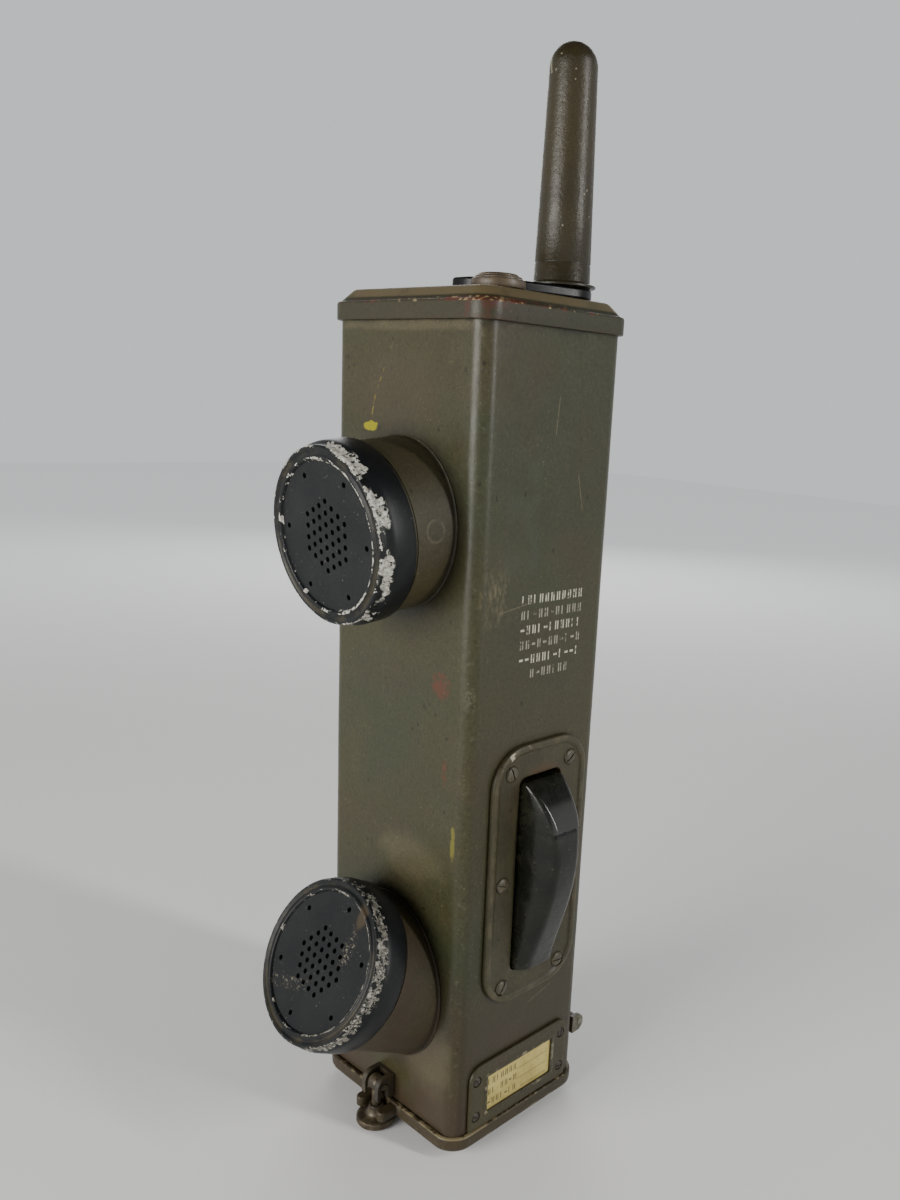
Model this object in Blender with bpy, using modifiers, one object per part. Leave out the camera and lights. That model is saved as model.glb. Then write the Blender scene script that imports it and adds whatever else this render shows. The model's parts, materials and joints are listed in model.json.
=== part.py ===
"""Hand-held two-way radio of the 1940s, modelled as the separate pieces it is built from.

Metres, +Z up.  The origin is the centre of the flat underside of the bottom cover.
The front, with the ear and mouth cups, faces -Y; the press-to-talk lever faces +X.
"""
import math

import bmesh
import bpy
from mathutils import Matrix, Vector

GAP = 0.0003                 # clearance left between pieces that touch

# case
CASE_WIDTH = 0.0780          # along X
CASE_DEPTH = 0.0687          # along Y
CASE_WALL = 0.0025
CASE_CORNER = 0.0060
CASE_BOTTOM = 0.01005
SIDE = CASE_WIDTH / 2        # the right side face
FACE = CASE_DEPTH / 2        # the front face is at -FACE

# bottom cover
COVER_PROUD = 0.0019
COVER_CORNER = 0.0095
COVER_SKIRT = 0.0043         # where the sloping underside meets the skirt
COVER_RIM = 0.0096
COVER_INSET = 0.0060
COVER_FLOOR = 0.0030

# top cover
TOP_PROUD = 0.0017
TOP_CORNER = 0.0075
TOP_SKIRT = 0.3067
TOP_LEDGE = 0.3130
TOP_PLANE = 0.3175
TOP_CEILING = 0.3126
LEDGE_WIDTH = 0.0012
TOP_INSET = 0.0057           # plateau edge behind the skirt

# ear and mouth cups: height of the cap's centre, its reach from the front face, its tilt
EAR_HEIGHT, EAR_REACH, EAR_TILT = 0.2358, 0.0307, math.radians(-6.0)
MOUTH_HEIGHT, MOUTH_REACH, MOUTH_TILT = 0.0813, 0.0324, math.radians(27.8)
CUP_RADIUS = 0.0310
CUP_DEPTH = 0.0130           # of the screw cap behind its face
NECK_RADIUS = 0.0295
NECK_BORE = 0.0252
HOLE_PITCH = 0.0039
HOLE_RADIUS = 0.0010
OUTER_HOLE_CIRCLE = 0.0214
EAR_HOLE_TURN = math.radians(27.0)
MOUTH_HOLE_TURN = math.radians(49.2)

# press-to-talk lever and its plate, on the right side
PTT_Y = 0.0021
PTT_LOW, PTT_HIGH = 0.0595, 0.1624
PTT_WIDTH = 0.0493
PTT_CORNER = 0.0150
PTT_PLATE = 0.0018
PTT_OPENING = (0.0220, 0.0718, 0.1496)    # width, lowest and highest edge
LEVER_WIDTH = 0.0200
LEVER_LOW, LEVER_HIGH = 0.0726, 0.1480
LEVER_CURVE = ((0.0060, 0.0), (0.0088, 0.0157), (0.0318, 0.0579), (0.0030, 0.0754))   # Bezier: out, up
LEVER_PIVOT = (0.0330, 0.0760)            # x and z of the hinge pin
PLUNGER_HEIGHT = 0.1250

# data card frame, on the right side
CARD_HALF = 0.0270
CARD_LOW, CARD_HIGH = 0.0102, 0.0373
WINDOW_HALF = 0.0177
WINDOW_LOW, WINDOW_HIGH = 0.0154, 0.0307

# top fittings
AERIAL = (0.0196, 0.0203)
STRAP_TOP = TOP_PLANE + GAP + 0.0040
BUTTON = (0.0250, -0.0160)
BUTTON_RADIUS = 0.0090
CAP_BASE = TOP_PLANE + 0.0046
CAP_TOP = 0.4010
AERIAL_TUBES = ((0.0050, 0.0045), (0.0042, 0.00375), (0.00345, 0.0030))

# latch and hinge of the bottom cover
LATCH_PIN = (-0.0395, 0.0172)             # y and z
NUT_RADIUS, NUT_TOP = 0.0078, 0.0034
HINGE_PIN = (0.0385, 0.0120)              # y and z


# ---------------------------------------------------------------- tools

def collection(name):
    made = bpy.data.collections.new(name)
    bpy.context.scene.collection.children.link(made)
    return made


def material(name, colour, roughness, metallic=0.0):
    made = bpy.data.materials.new(name)
    made.use_nodes = True
    shader = made.node_tree.nodes["Principled BSDF"]
    shader.inputs["Base Color"].default_value = (*colour, 1.0)
    shader.inputs["Roughness"].default_value = roughness
    shader.inputs["Metallic"].default_value = metallic
    return made


def add_object(name, mesh, finish=None, place=None):
    """Link a piece, or a cutter if it has no finish."""
    made = bpy.data.objects.new(name, mesh)
    if finish is None:
        cutters.objects.link(made)
        made.hide_render = True
        made.display_type = "WIRE"
    else:
        radio.objects.link(made)
        mesh.materials.clear()
        mesh.materials.append(finish.copy())
        mesh.materials[0].name = name
    made.matrix_world = place if place is not None else Matrix.Identity(4)
    return made


def mesh_from(bm, name):
    mesh = bpy.data.meshes.new(name)
    bmesh.ops.recalc_face_normals(bm, faces=bm.faces)
    bm.to_mesh(mesh)
    bm.free()
    mesh.shade_smooth()
    mesh.set_sharp_from_angle(angle=math.radians(35))
    return mesh


def block(name, low, high, finish=None, axis=2, radius=0.0, segments=5, keep=None):
    """A box between two corners; its edges along one axis are rounded, or those keep() accepts."""
    low, high = Vector(low), Vector(high)
    bm = bmesh.new()
    bmesh.ops.create_cube(bm, size=1.0)
    bmesh.ops.scale(bm, vec=high - low, verts=bm.verts)
    bmesh.ops.translate(bm, vec=(low + high) / 2, verts=bm.verts)
    if radius:
        along = [edge for edge in bm.edges
                 if abs((edge.verts[0].co - edge.verts[1].co).normalized()[axis]) > 0.9]
        if keep:
            along = [edge for edge in along if keep(edge.verts[0].co)]
        bmesh.ops.bevel(bm, geom=along, offset=radius, segments=segments, profile=0.5,
                        affect="EDGES")
    return add_object(name, mesh_from(bm, name), finish)


def stepped_block(name, size, radius, steps, finish, place, segments=6):
    """A rounded slab on z = 0 whose upper face is drawn in by steps of (inset, rise)."""
    width, depth, height = size
    bm = bmesh.new()
    bmesh.ops.create_cube(bm, size=1.0)
    bmesh.ops.scale(bm, vec=size, verts=bm.verts)
    bmesh.ops.translate(bm, vec=(0, 0, height / 2), verts=bm.verts)
    upright = [edge for edge in bm.edges if abs(edge.verts[0].co.z - edge.verts[1].co.z) > height / 2]
    bmesh.ops.bevel(bm, geom=upright, offset=radius, segments=segments, profile=0.5, affect="EDGES")
    bm.faces.ensure_lookup_table()
    top = max(bm.faces, key=lambda face: face.calc_center_median().z + face.normal.z)
    for inset, rise in steps:
        bmesh.ops.inset_region(bm, faces=[top], thickness=inset, use_even_offset=True)
        bmesh.ops.translate(bm, vec=(0, 0, rise), verts=top.verts)
    return add_object(name, mesh_from(bm, name), finish, place)


def rod(name, start, end, radius, finish=None, sides=20, end_radius=None):
    """A cylinder, or a cone if end_radius is given, from one point to another."""
    start, end = Vector(start), Vector(end)
    bm = bmesh.new()
    bmesh.ops.create_cone(bm, cap_ends=True, segments=sides, radius1=radius,
                          radius2=radius if end_radius is None else end_radius,
                          depth=(end - start).length)
    turn = Vector((0, 0, 1)).rotation_difference(end - start).to_matrix().to_4x4()
    place = Matrix.Translation((start + end) / 2) @ turn
    return add_object(name, mesh_from(bm, name), finish, place)


def turned(name, profile, finish=None, place=None, steps=36):
    """A solid of revolution about local Z; the profile runs down its outer side."""
    mesh = bpy.data.meshes.new(name)
    points = [(radius, 0.0, height) for radius, height in profile]
    ends_on_axis = profile[0][0] == 0.0
    edges = [(i, i + 1) for i in range(len(points) - 1)]
    if not ends_on_axis:
        edges.append((len(points) - 1, 0))
    mesh.from_pydata(points, edges, [])
    made = add_object(name, mesh, finish, place)
    screw = made.modifiers.new("Screw", "SCREW")
    screw.steps = screw.render_steps = steps
    screw.use_merge_vertices = True
    screw.merge_threshold = 0.00001
    screw.use_smooth_shade = True
    return made


def outline(name, points, thickness, finish, place):
    """A flat outline in local XY with a thickness, as a mesh that Booleans accept."""
    curve = bpy.data.curves.new(name, "CURVE")
    curve.dimensions = "2D"
    curve.fill_mode = "BOTH"
    curve.extrude = thickness / 2
    spline = curve.splines.new("POLY")
    spline.points.add(len(points) - 1)
    for point, (x, y) in zip(spline.points, points):
        point.co = (x, y, 0.0, 1.0)
    spline.use_cyclic_u = True
    guide = bpy.data.objects.new(name + "_outline", curve)
    bpy.context.scene.collection.objects.link(guide)
    bpy.context.view_layer.update()
    mesh = bpy.data.meshes.new_from_object(guide.evaluated_get(bpy.context.evaluated_depsgraph_get()))
    bpy.data.objects.remove(guide)
    bm = bmesh.new()
    bm.from_mesh(mesh)
    bmesh.ops.remove_doubles(bm, verts=bm.verts, dist=0.00001)
    return add_object(name, mesh_from(bm, name), finish, place)


def helix(name, centre, low, high, radius, wire, turns, finish):
    """A coil spring standing on z = low."""
    per_turn = 8
    curve = bpy.data.curves.new(name, "CURVE")
    curve.dimensions = "3D"
    curve.bevel_depth = wire
    curve.bevel_resolution = 2
    curve.use_fill_caps = True
    spline = curve.splines.new("POLY")
    count = turns * per_turn
    spline.points.add(count)
    for index, point in enumerate(spline.points):
        angle = 2 * math.pi * index / per_turn
        height = low + wire + (high - low - 2 * wire) * index / count
        point.co = (centre[0] + radius * math.cos(angle), centre[1] + radius * math.sin(angle),
                    height, 1.0)
    made = bpy.data.objects.new(name, curve)
    radio.objects.link(made)
    curve.materials.append(finish.copy())
    return made


def boolean(target, other, operation):
    modifier = target.modifiers.new(other.name, "BOOLEAN")
    modifier.operation = operation
    modifier.object = other


def cut(target, *others):
    for other in others:
        boolean(target, other, "DIFFERENCE")


def join(target, *others):
    for other in others:
        boolean(target, other, "UNION")


def bezier(points, t):
    """The point at t, 0 to 1, of the curve with these control points."""
    points = [Vector(point) for point in points]
    while len(points) > 1:
        points = [start.lerp(end, t) for start, end in zip(points, points[1:])]
    return points[0]


def arc(centre, radius, start, end, steps):
    """Points along a circle in local XY, between two angles in degrees."""
    angles = [math.radians(start + (end - start) * step / steps) for step in range(steps + 1)]
    return [(centre[0] + radius * math.cos(angle), centre[1] + radius * math.sin(angle)) for angle in angles]


def evaluated_mesh(source, name):
    """The finished mesh of an object, and the object removed."""
    bpy.context.view_layer.update()
    mesh = bpy.data.meshes.new_from_object(source.evaluated_get(bpy.context.evaluated_depsgraph_get()))
    mesh.name = name
    bpy.data.objects.remove(source)
    return mesh


# ---------------------------------------------------------------- case and covers

def make_case():
    shell = block("case_shell", (-SIDE, -FACE, CASE_BOTTOM), (SIDE, FACE, TOP_CEILING - GAP), drab,
                  radius=CASE_CORNER)
    inner = (SIDE - CASE_WALL, FACE - CASE_WALL)
    hollow = block("case_hollow", (-inner[0], -inner[1], 0.0), (inner[0], inner[1], CAP_TOP),
                   radius=CASE_CORNER - CASE_WALL)
    width, low, high = PTT_OPENING
    doorway = block("ptt_doorway", (SIDE - 2 * CASE_WALL, PTT_Y - width / 2, low),
                    (SIDE + 2 * CASE_WALL, PTT_Y + width / 2, high), axis=0, radius=0.003,
                    segments=3)
    cut(shell, hollow, doorway)
    for name, height in (("ear_wire_hole", EAR_HEIGHT), ("mouth_wire_hole", MOUTH_HEIGHT)):
        cut(shell, rod(name, (0, -FACE - 0.005, height), (0, -FACE + 0.005, height), 0.012))
    return shell


def make_top_cover():
    proud = Vector((2 * TOP_PROUD, 2 * TOP_PROUD, 0))
    size = Vector((CASE_WIDTH, CASE_DEPTH, TOP_LEDGE - TOP_SKIRT)) + proud
    rise = TOP_PLANE - TOP_LEDGE
    steps = [(LEDGE_WIDTH, 0.0), (TOP_INSET - LEDGE_WIDTH, rise)]
    cover = stepped_block("top_cover", size, TOP_CORNER, steps, drab,
                          Matrix.Translation((0, 0, TOP_SKIRT)))
    pocket = block("top_pocket", (-SIDE - GAP, -FACE - GAP, TOP_SKIRT - 0.01),
                   (SIDE + GAP, FACE + GAP, TOP_CEILING), radius=CASE_CORNER)
    bore = rod("aerial_bore", (*AERIAL, TOP_SKIRT), (*AERIAL, TOP_PLANE + 0.01),
               AERIAL_TUBES[0][0] + GAP)
    cut(cover, pocket, bore)


def make_bottom_cover():
    proud = Vector((2 * COVER_PROUD, 2 * COVER_PROUD, 0))
    size = Vector((CASE_WIDTH, CASE_DEPTH, COVER_RIM - COVER_SKIRT)) + proud
    upside_down = Matrix.Translation((0, 0, COVER_RIM)) @ Matrix.Rotation(math.pi, 4, "X")
    cover = stepped_block("bottom_cover", size, COVER_CORNER, [(COVER_INSET, COVER_SKIRT)], drab,
                          upside_down)
    wall = 0.0060
    pocket = block("cover_pocket", (-SIDE + wall, -FACE + wall, COVER_FLOOR),
                   (SIDE - wall, FACE - wall, COVER_RIM + 0.01), radius=0.004, segments=3)
    seal, land, depth = 0.0022, 0.0012, 0.0018
    groove = ring_block("cover_groove", land, seal, COVER_RIM - depth, COVER_RIM + 0.01)
    nut_recess = rod("nut_recess", (0, LATCH_PIN[0], -0.01), (0, LATCH_PIN[0], NUT_TOP + 0.0005),
                     NUT_RADIUS + 0.0006, sides=48)
    hub_recess = rod("hub_recess", (0, LATCH_PIN[0], -0.01), (0, LATCH_PIN[0], 0.02), 0.0040)
    cut(cover, pocket, groove, nut_recess, hub_recess)
    for side in (-1, 1):
        inner, outer = 0.0042, 0.0086
        prong = block("fork_prong", (side * inner, -FACE - 0.0095, 0.0046),
                      (side * outer, -FACE, 0.0090), axis=2, radius=0.0020, segments=3,
                      keep=lambda corner: corner.y < -FACE - 0.005)
        join(cover, prong)
    ring_block("bottom_gasket", land + GAP, seal - 2 * GAP, COVER_RIM - depth + GAP,
               CASE_BOTTOM - GAP, rubber)


def ring_block(name, inset, width, low, high, finish=None):
    """A rectangular ring that follows the case wall, inset from the case's outside."""
    outer = block(name, (-SIDE + inset, -FACE + inset, low), (SIDE - inset, FACE - inset, high),
                  finish, radius=CASE_CORNER - inset, segments=4)
    inset += width
    middle = block(name + "_middle", (-SIDE + inset, -FACE + inset, low - 0.01),
                   (SIDE - inset, FACE - inset, high + 0.01), radius=CASE_CORNER - inset, segments=4)
    cut(outer, middle)
    return outer


def make_cover_hinge():
    y, z = HINGE_PIN
    knuckle, pin, leaf = 0.0026, 0.0013, 0.0015
    case_leaf = block("hinge_case_leaf", (-0.025, FACE + GAP, z), (0.025, FACE + GAP + leaf, 0.0215),
                      steel, axis=1, radius=0.003, segments=3,
                      keep=lambda corner: corner.z > z + 0.001)
    join(case_leaf, rod("case_knuckle", (-0.025, y, z), (0.025, y, z), knuckle),
         block("case_knuckle_web", (-0.025, FACE + GAP, z), (0.025, y, z + knuckle)))
    half = 0.0085
    cut(case_leaf, block("knuckle_space", (-half, FACE + GAP + leaf + GAP / 2, z - 0.004),
                         (half, y + 0.01, z + 0.0045)),
        block("leaf_relief", (-half, FACE, z - 0.004), (half, FACE + 0.01, z + 0.0032)),
        rod("hinge_bore", (-0.03, y, z), (0.03, y, z), pin + GAP))
    cover_back = FACE + COVER_PROUD
    cover_leaf = rod("hinge_cover_leaf", (-half + GAP, y, z), (half - GAP, y, z), knuckle, steel)
    join(cover_leaf, block("cover_tab", (-half + GAP, cover_back + GAP, 0.0047),
                           (half - GAP, y, z - 0.0005)))
    cut(cover_leaf, rod("cover_leaf_bore", (-0.03, y, z), (0.03, y, z), pin + GAP))
    rod("hinge_pin", (-0.0255, y, z), (0.0255, y, z), pin, steel)


def make_latch():
    y, z = LATCH_PIN
    eye, pin, shank = 0.0031, 0.0014, 0.0019
    half_eye, ear = 0.0026, 0.0022
    outer = half_eye + GAP + ear
    clevis = block("latch_clevis", (-outer, -FACE - 0.0086, z - 0.0057), (outer, -FACE - GAP, z + 0.0040),
                   drab, axis=0, radius=0.0035, segments=4,
                   keep=lambda corner: corner.z > z and corner.y < y)
    slot = block("clevis_slot", (-half_eye - GAP, y - 0.01, z - 0.01), (half_eye + GAP, y + 0.0036, z + 0.01))
    pin_way = block("clevis_pin_way", (-0.02, y - 0.0022, z - 0.01), (0.02, y + 0.0018, z + pin + GAP),
                    axis=0, radius=0.0015, segments=4, keep=lambda corner: corner.z > z)
    cut(clevis, slot, pin_way)

    bolt = rod("swing_bolt", (-half_eye, y, z), (half_eye, y, z), eye, steel)
    join(bolt, rod("bolt_shank", (0, y, z), (0, y, 0.0012), shank, sides=20))
    cut(bolt, rod("eye_bore", (-0.01, y, z), (0.01, y, z), pin + GAP))
    rod("latch_pin", (-outer, y, z), (outer, y, z), pin, steel)

    rim, foot, top, hub = NUT_RADIUS, 0.0004, NUT_TOP, 0.0076
    bore = shank + GAP
    profile = [(bore, hub), (0.0028, hub), (0.0039, top), (rim - 0.0006, top), (rim, top - 0.0006),
               (rim, foot + 0.0006), (rim - 0.0006, foot), (bore, foot)]
    turned("thumb_nut", profile, brass, Matrix.Translation((0, y, 0)), steps=32)


# ---------------------------------------------------------------- ear and mouth cups

def cup_place(height, reach, tilt):
    """Local Z points out of the cup, from the centre of its perforated face."""
    return (Matrix.Translation((0, -FACE - reach, height))
            @ Matrix.Rotation(math.pi / 2 - tilt, 4, "X"))


def hole_cutters(name, place, hole_turn):
    """A hexagon of small holes with six more on a wider circle."""
    spots = []
    for q in range(-3, 4):
        for r in range(-3, 4):
            if abs(q + r) <= 3:
                spots.append(Vector((HOLE_PITCH * (q + r / 2), HOLE_PITCH * r * math.sin(math.pi / 3), 0)))
    turn = Matrix.Rotation(hole_turn, 4, "Z")
    spots = [turn @ spot for spot in spots]
    for index in range(6):
        angle = hole_turn + index * math.pi / 3 + math.radians(30)
        spots.append(OUTER_HOLE_CIRCLE * Vector((math.cos(angle), math.sin(angle), 0)))
    bm = bmesh.new()
    for spot in spots:
        bmesh.ops.create_cone(bm, cap_ends=True, segments=6, radius1=HOLE_RADIUS, radius2=HOLE_RADIUS,
                              depth=0.012, matrix=Matrix.Translation(spot))
    return add_object(name, mesh_from(bm, name), place=place)


def make_cup(side, height, reach, tilt, hole_turn):
    place = cup_place(height, reach, tilt)
    lip, spigot = -0.0050, NECK_RADIUS - 0.0011
    behind = -CUP_DEPTH
    length = -0.0560
    neck = turned(side + "_neck", [(0.0, lip), (spigot, lip), (spigot, behind), (NECK_RADIUS, behind),
                                   (NECK_RADIUS, length), (0.0, length)], drab, place)
    foot_height = height - reach * math.tan(tilt)
    flange = rod(side + "_flange", (0, -FACE + 0.002, foot_height), (0, -FACE - 0.0010, foot_height),
                 NECK_RADIUS + 0.0020, end_radius=NECK_RADIUS, sides=36)
    flange.scale = (1.0, 1.0 / math.cos(tilt), 1.0)
    bore = turned(side + "_bore", [(0.0, 0.01), (NECK_BORE, 0.01), (NECK_BORE, length - 0.01),
                                   (0.0, length - 0.01)], place=place)
    behind_face = block(side + "_case_space", (-0.08, -FACE - GAP, height - 0.1), (0.08, 0.1, height + 0.1))
    join(neck, flange)
    cut(neck, bore, behind_face)

    inside = spigot + 0.0004
    cap_profile = [(0.0, 0.0), (0.0272, 0.0), (0.0283, 0.0010), (0.0295, 0.0012), (0.0305, 0.0005),
                   (0.0309, -0.0010), (CUP_RADIUS, behind + GAP), (inside, behind + GAP),
                   (inside, -0.0032), (0.0, -0.0032)]
    cap = turned(side + "_cap", cap_profile, black, place)
    cut(cap, hole_cutters(side + "_cap_holes", place, hole_turn))
    turned(side + "_gasket", [(spigot - 0.0002, -0.0035), (spigot - 0.0002, lip + GAP),
                              (NECK_BORE + GAP, lip + GAP), (NECK_BORE + GAP, -0.0035)],
           rubber, place, steps=24)
    capsule = NECK_BORE - 0.0005
    turned(side + "_capsule", [(0.0, -0.0037), (capsule, -0.0037), (capsule, -0.0090),
                               (capsule - 0.004, -0.0140), (0.0, -0.0140)], black, place, steps=24)


# ---------------------------------------------------------------- press-to-talk

def screw_mesh(head, length):
    """A slotted round-head screw, its head's underside on z = 0."""
    shank = head / 2
    dome = head * 0.42
    profile = [(0.0, dome), (head * 0.55, dome * 0.8), (head * 0.9, dome * 0.35), (head, 0.0),
               (shank, 0.0), (shank, -length), (0.0, -length)]
    screw = turned("screw", profile, steel, steps=10)
    cut(screw, block("screw_slot", (-2 * head, -head * 0.12, dome * 0.45), (2 * head, head * 0.12, dome * 2)))
    return evaluated_mesh(screw, "screw")


def side_screws(name, places, mesh, base_x, turns):
    """Screws into the right side, each with its own slot direction."""
    for index, ((y, z), turn) in enumerate(zip(places, turns)):
        place = (Matrix.Translation((base_x, y, z)) @ Matrix.Rotation(math.pi / 2, 4, "Y")
                 @ Matrix.Rotation(math.radians(turn), 4, "Z"))
        add_object(f"{name}_{index + 1}", mesh.copy(), steel, place)


def side_holes(name, places, radius):
    bm = bmesh.new()
    for y, z in places:
        place = Matrix.Translation((SIDE, y, z)) @ Matrix.Rotation(math.pi / 2, 4, "Y")
        bmesh.ops.create_cone(bm, cap_ends=True, segments=8, radius1=radius, radius2=radius,
                              depth=0.02, matrix=place)
    return add_object(name, mesh_from(bm, name))


def make_ptt_plate(case):
    centre = (PTT_LOW + PTT_HIGH) / 2
    edge = 0.0009
    place = (Matrix.Translation((SIDE + GAP, PTT_Y, centre)) @ Matrix.Rotation(math.pi / 2, 4, "Y"))
    plate = stepped_block("ptt_plate", (PTT_HIGH - PTT_LOW, PTT_WIDTH, PTT_PLATE - edge), PTT_CORNER,
                          [(edge, edge)], drab, place, segments=6)
    width, low, high = PTT_OPENING
    window = block("ptt_window", (SIDE - 0.01, PTT_Y - width / 2, low),
                   (SIDE + 0.01, PTT_Y + width / 2, high), axis=0, radius=0.003, segments=3)
    row, wide_row = 0.01545, 0.0177
    places = [(PTT_Y + side * half, height) for height, half in ((0.1525, row), (0.1098, wide_row),
                                                                  (0.0671, row)) for side in (-1, 1)]
    head = 0.0030
    holes = side_holes("ptt_screw_holes", places, head / 2 + GAP)
    cut(plate, window, holes)
    cut(case, holes)
    side_screws("ptt_screw", places, screw_mesh(head, 0.0060), SIDE + GAP + PTT_PLATE + GAP / 2,
                (20, -55, 70, 10, -30, 85))


def make_ptt_lever():
    pivot_x, pivot_z = LEVER_PIVOT
    inner = SIDE - 0.0035
    foot = Vector((SIDE, LEVER_LOW))
    outer = [foot + bezier(LEVER_CURVE, index / 16) for index in range(17)]
    back = [(inner, LEVER_HIGH), (inner, pivot_z + 0.0065), (pivot_x - 0.0005, pivot_z + 0.0038),
            (pivot_x - 0.0034, pivot_z), (pivot_x - 0.0010, LEVER_LOW)]
    upright = Matrix.Translation((0, PTT_Y, 0)) @ Matrix.Rotation(math.pi / 2, 4, "X")
    lever = outline("ptt_lever", outer + back, LEVER_WIDTH, rubber, upright)
    bevel = lever.modifiers.new("Bevel", "BEVEL")
    bevel.width = 0.0012
    bevel.segments = 2
    bevel.limit_method = "ANGLE"
    bevel.angle_limit = math.radians(60)
    low, high = PTT_Y - 0.0132, PTT_Y + 0.0132
    pin = 0.0015
    cut(lever, rod("lever_bore", (pivot_x, low, pivot_z), (pivot_x, high, pivot_z), pin + GAP))
    rod("ptt_pin", (pivot_x, low, pivot_z), (pivot_x, high, pivot_z), pin, steel)

    wall = SIDE - CASE_WALL - GAP
    ear_low, ear_high = 0.0700, 0.0810
    bracket = block("ptt_bracket", (wall - 0.0015, low, 0.0620), (wall, high, ear_low + 0.001), steel)
    for side in (-1, 1):
        near, far = PTT_Y + side * 0.0111, PTT_Y + side * 0.0132
        join(bracket, block("bracket_ear", (pivot_x - 0.0040, min(near, far), ear_low - 0.002),
                            (wall, max(near, far), ear_high)))
    cut(bracket, rod("bracket_bore", (pivot_x, low - 0.01, pivot_z), (pivot_x, high + 0.01, pivot_z),
                     pin + GAP))

    plunger, tip, travel = 0.0022, inner - 0.0004, 0.0050
    body = block("tr_switch", (0.0175, PTT_Y - 0.008, 0.1050), (0.0283, PTT_Y + 0.008, 0.1400), bakelite)
    foot = 0.0245
    cut(body, rod("plunger_bore", (foot - travel, PTT_Y, PLUNGER_HEIGHT), (0.04, PTT_Y, PLUNGER_HEIGHT),
                  plunger + GAP))
    rod("tr_plunger", (foot, PTT_Y, PLUNGER_HEIGHT), (tip, PTT_Y, PLUNGER_HEIGHT), plunger, brass)


# ---------------------------------------------------------------- data card

def make_card_frame(case):
    face, card, pocket, front = SIDE + GAP, 0.0003, 0.0006, 0.0012
    frame = block("card_frame", (face, -CARD_HALF, CARD_LOW), (face + front, CARD_HALF, CARD_HIGH), drab,
                  axis=0, radius=0.006, segments=5, keep=lambda corner: corner.z > CARD_LOW + 0.001)
    window = block("card_opening", (SIDE - 0.01, -WINDOW_HALF, WINDOW_LOW),
                   (SIDE + 0.01, WINDOW_HALF, WINDOW_HIGH))
    lap = 0.0018
    recess = block("card_recess", (SIDE - 0.01, -WINDOW_HALF - lap, WINDOW_LOW - lap),
                   (face + pocket, WINDOW_HALF + lap, WINDOW_HIGH + lap))
    head, column = 0.0019, 0.0234
    places = [(side * column, height) for height in (0.0309, 0.0155) for side in (-1, 1)]
    holes = side_holes("card_screw_holes", places, head / 2 + GAP)
    cut(frame, window, recess, holes)
    cut(case, holes)
    side_screws("card_screw", places, screw_mesh(head, 0.0045), face + front + GAP / 2, (35, -15, 60, 80))
    block("data_card", (face, -WINDOW_HALF - lap + GAP, WINDOW_LOW - lap + GAP),
          (face + card, WINDOW_HALF + lap - GAP, WINDOW_HIGH + lap - GAP), paper)


# ---------------------------------------------------------------- aerial, strap and button

def make_aerial():
    place = Matrix.Translation((*AERIAL, 0))
    outer, bore = AERIAL_TUBES[0]
    foot, tops = 0.0440, (0.3300, 0.3306, 0.3312)
    names = ("aerial_base", "aerial_lower", "aerial_middle")
    for name, (radius, hollow), top in zip(names, AERIAL_TUBES, tops):
        turned(name, [(radius, top), (radius, foot), (hollow, foot), (hollow, top)], brass, place, steps=20)
        foot += 0.0010
    tip = 0.0040
    turned("aerial_rod", [(0.0, 0.3440), (tip * 0.6, 0.3437), (tip, 0.3425), (tip, 0.3320), (0.0027, 0.3318),
                          (0.0027, foot), (0.0, foot)], brass, place, steps=20)
    plane = TOP_PLANE + GAP
    thread = 0.0072
    turned("aerial_bushing", [(thread, 0.3350), (thread, plane), (outer + GAP, plane), (outer + GAP, 0.3350)],
           brass, place, steps=24)
    wide, narrow = 0.0101, 0.0083
    dome = [(narrow * math.sin(angle), CAP_TOP - narrow + narrow * math.cos(angle))
            for angle in (math.radians(degree) for degree in range(0, 91, 18))]
    dome[0] = (0.0, CAP_TOP)
    flange = 0.0122
    cap = dome + [(wide, CAP_BASE + 0.0012), (flange, CAP_BASE + 0.0012), (flange, CAP_BASE),
                  (thread + 0.0004, CAP_BASE), (thread + 0.0004, 0.3370), (0.0062, 0.3560),
                  (0.0050, 0.3800), (0.0, 0.3800)]
    turned("aerial_cap", cap, bakelite, place, steps=24)
    turned("loading_coil", [(0.0085, 0.2850), (0.0085, 0.2400), (outer + 0.0004, 0.2400),
                            (outer + 0.0004, 0.2850)], copper, place, steps=24)


def make_strap():
    """A rubber strap with an eye round the aerial bushing; its free end lies in the crook of the button."""
    x, y = AERIAL
    eye, clearance = 0.0109, 0.0007
    outline_points = arc(AERIAL, eye, -18, 190, 12)
    outline_points += arc((0.0074, -0.0164), 0.0030, 180, 270, 4) + [(0.0134, -0.0191)]
    outline_points += arc(BUTTON, BUTTON_RADIUS + clearance, 193, 97, 6)
    outline_points += [(0.0255, -0.0030)]
    middle = Matrix.Translation((0, 0, (TOP_PLANE + GAP + STRAP_TOP) / 2))
    strap = outline("cap_strap", outline_points, STRAP_TOP - TOP_PLANE - GAP, rubber, middle)
    cut(strap, rod("strap_eye", (x, y, TOP_PLANE - 0.01), (x, y, TOP_PLANE + 0.01), 0.0076))

    plane, height = TOP_PLANE + GAP, 0.0048
    turned("strap_button", [(0.0, plane + height), (BUTTON_RADIUS * 0.75, plane + height * 0.95),
                            (BUTTON_RADIUS * 0.88, plane + height * 0.8), (BUTTON_RADIUS, plane + height * 0.5),
                            (BUTTON_RADIUS, plane), (0.0, plane)], drab,
           Matrix.Translation((*BUTTON, 0)), steps=32)


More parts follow.
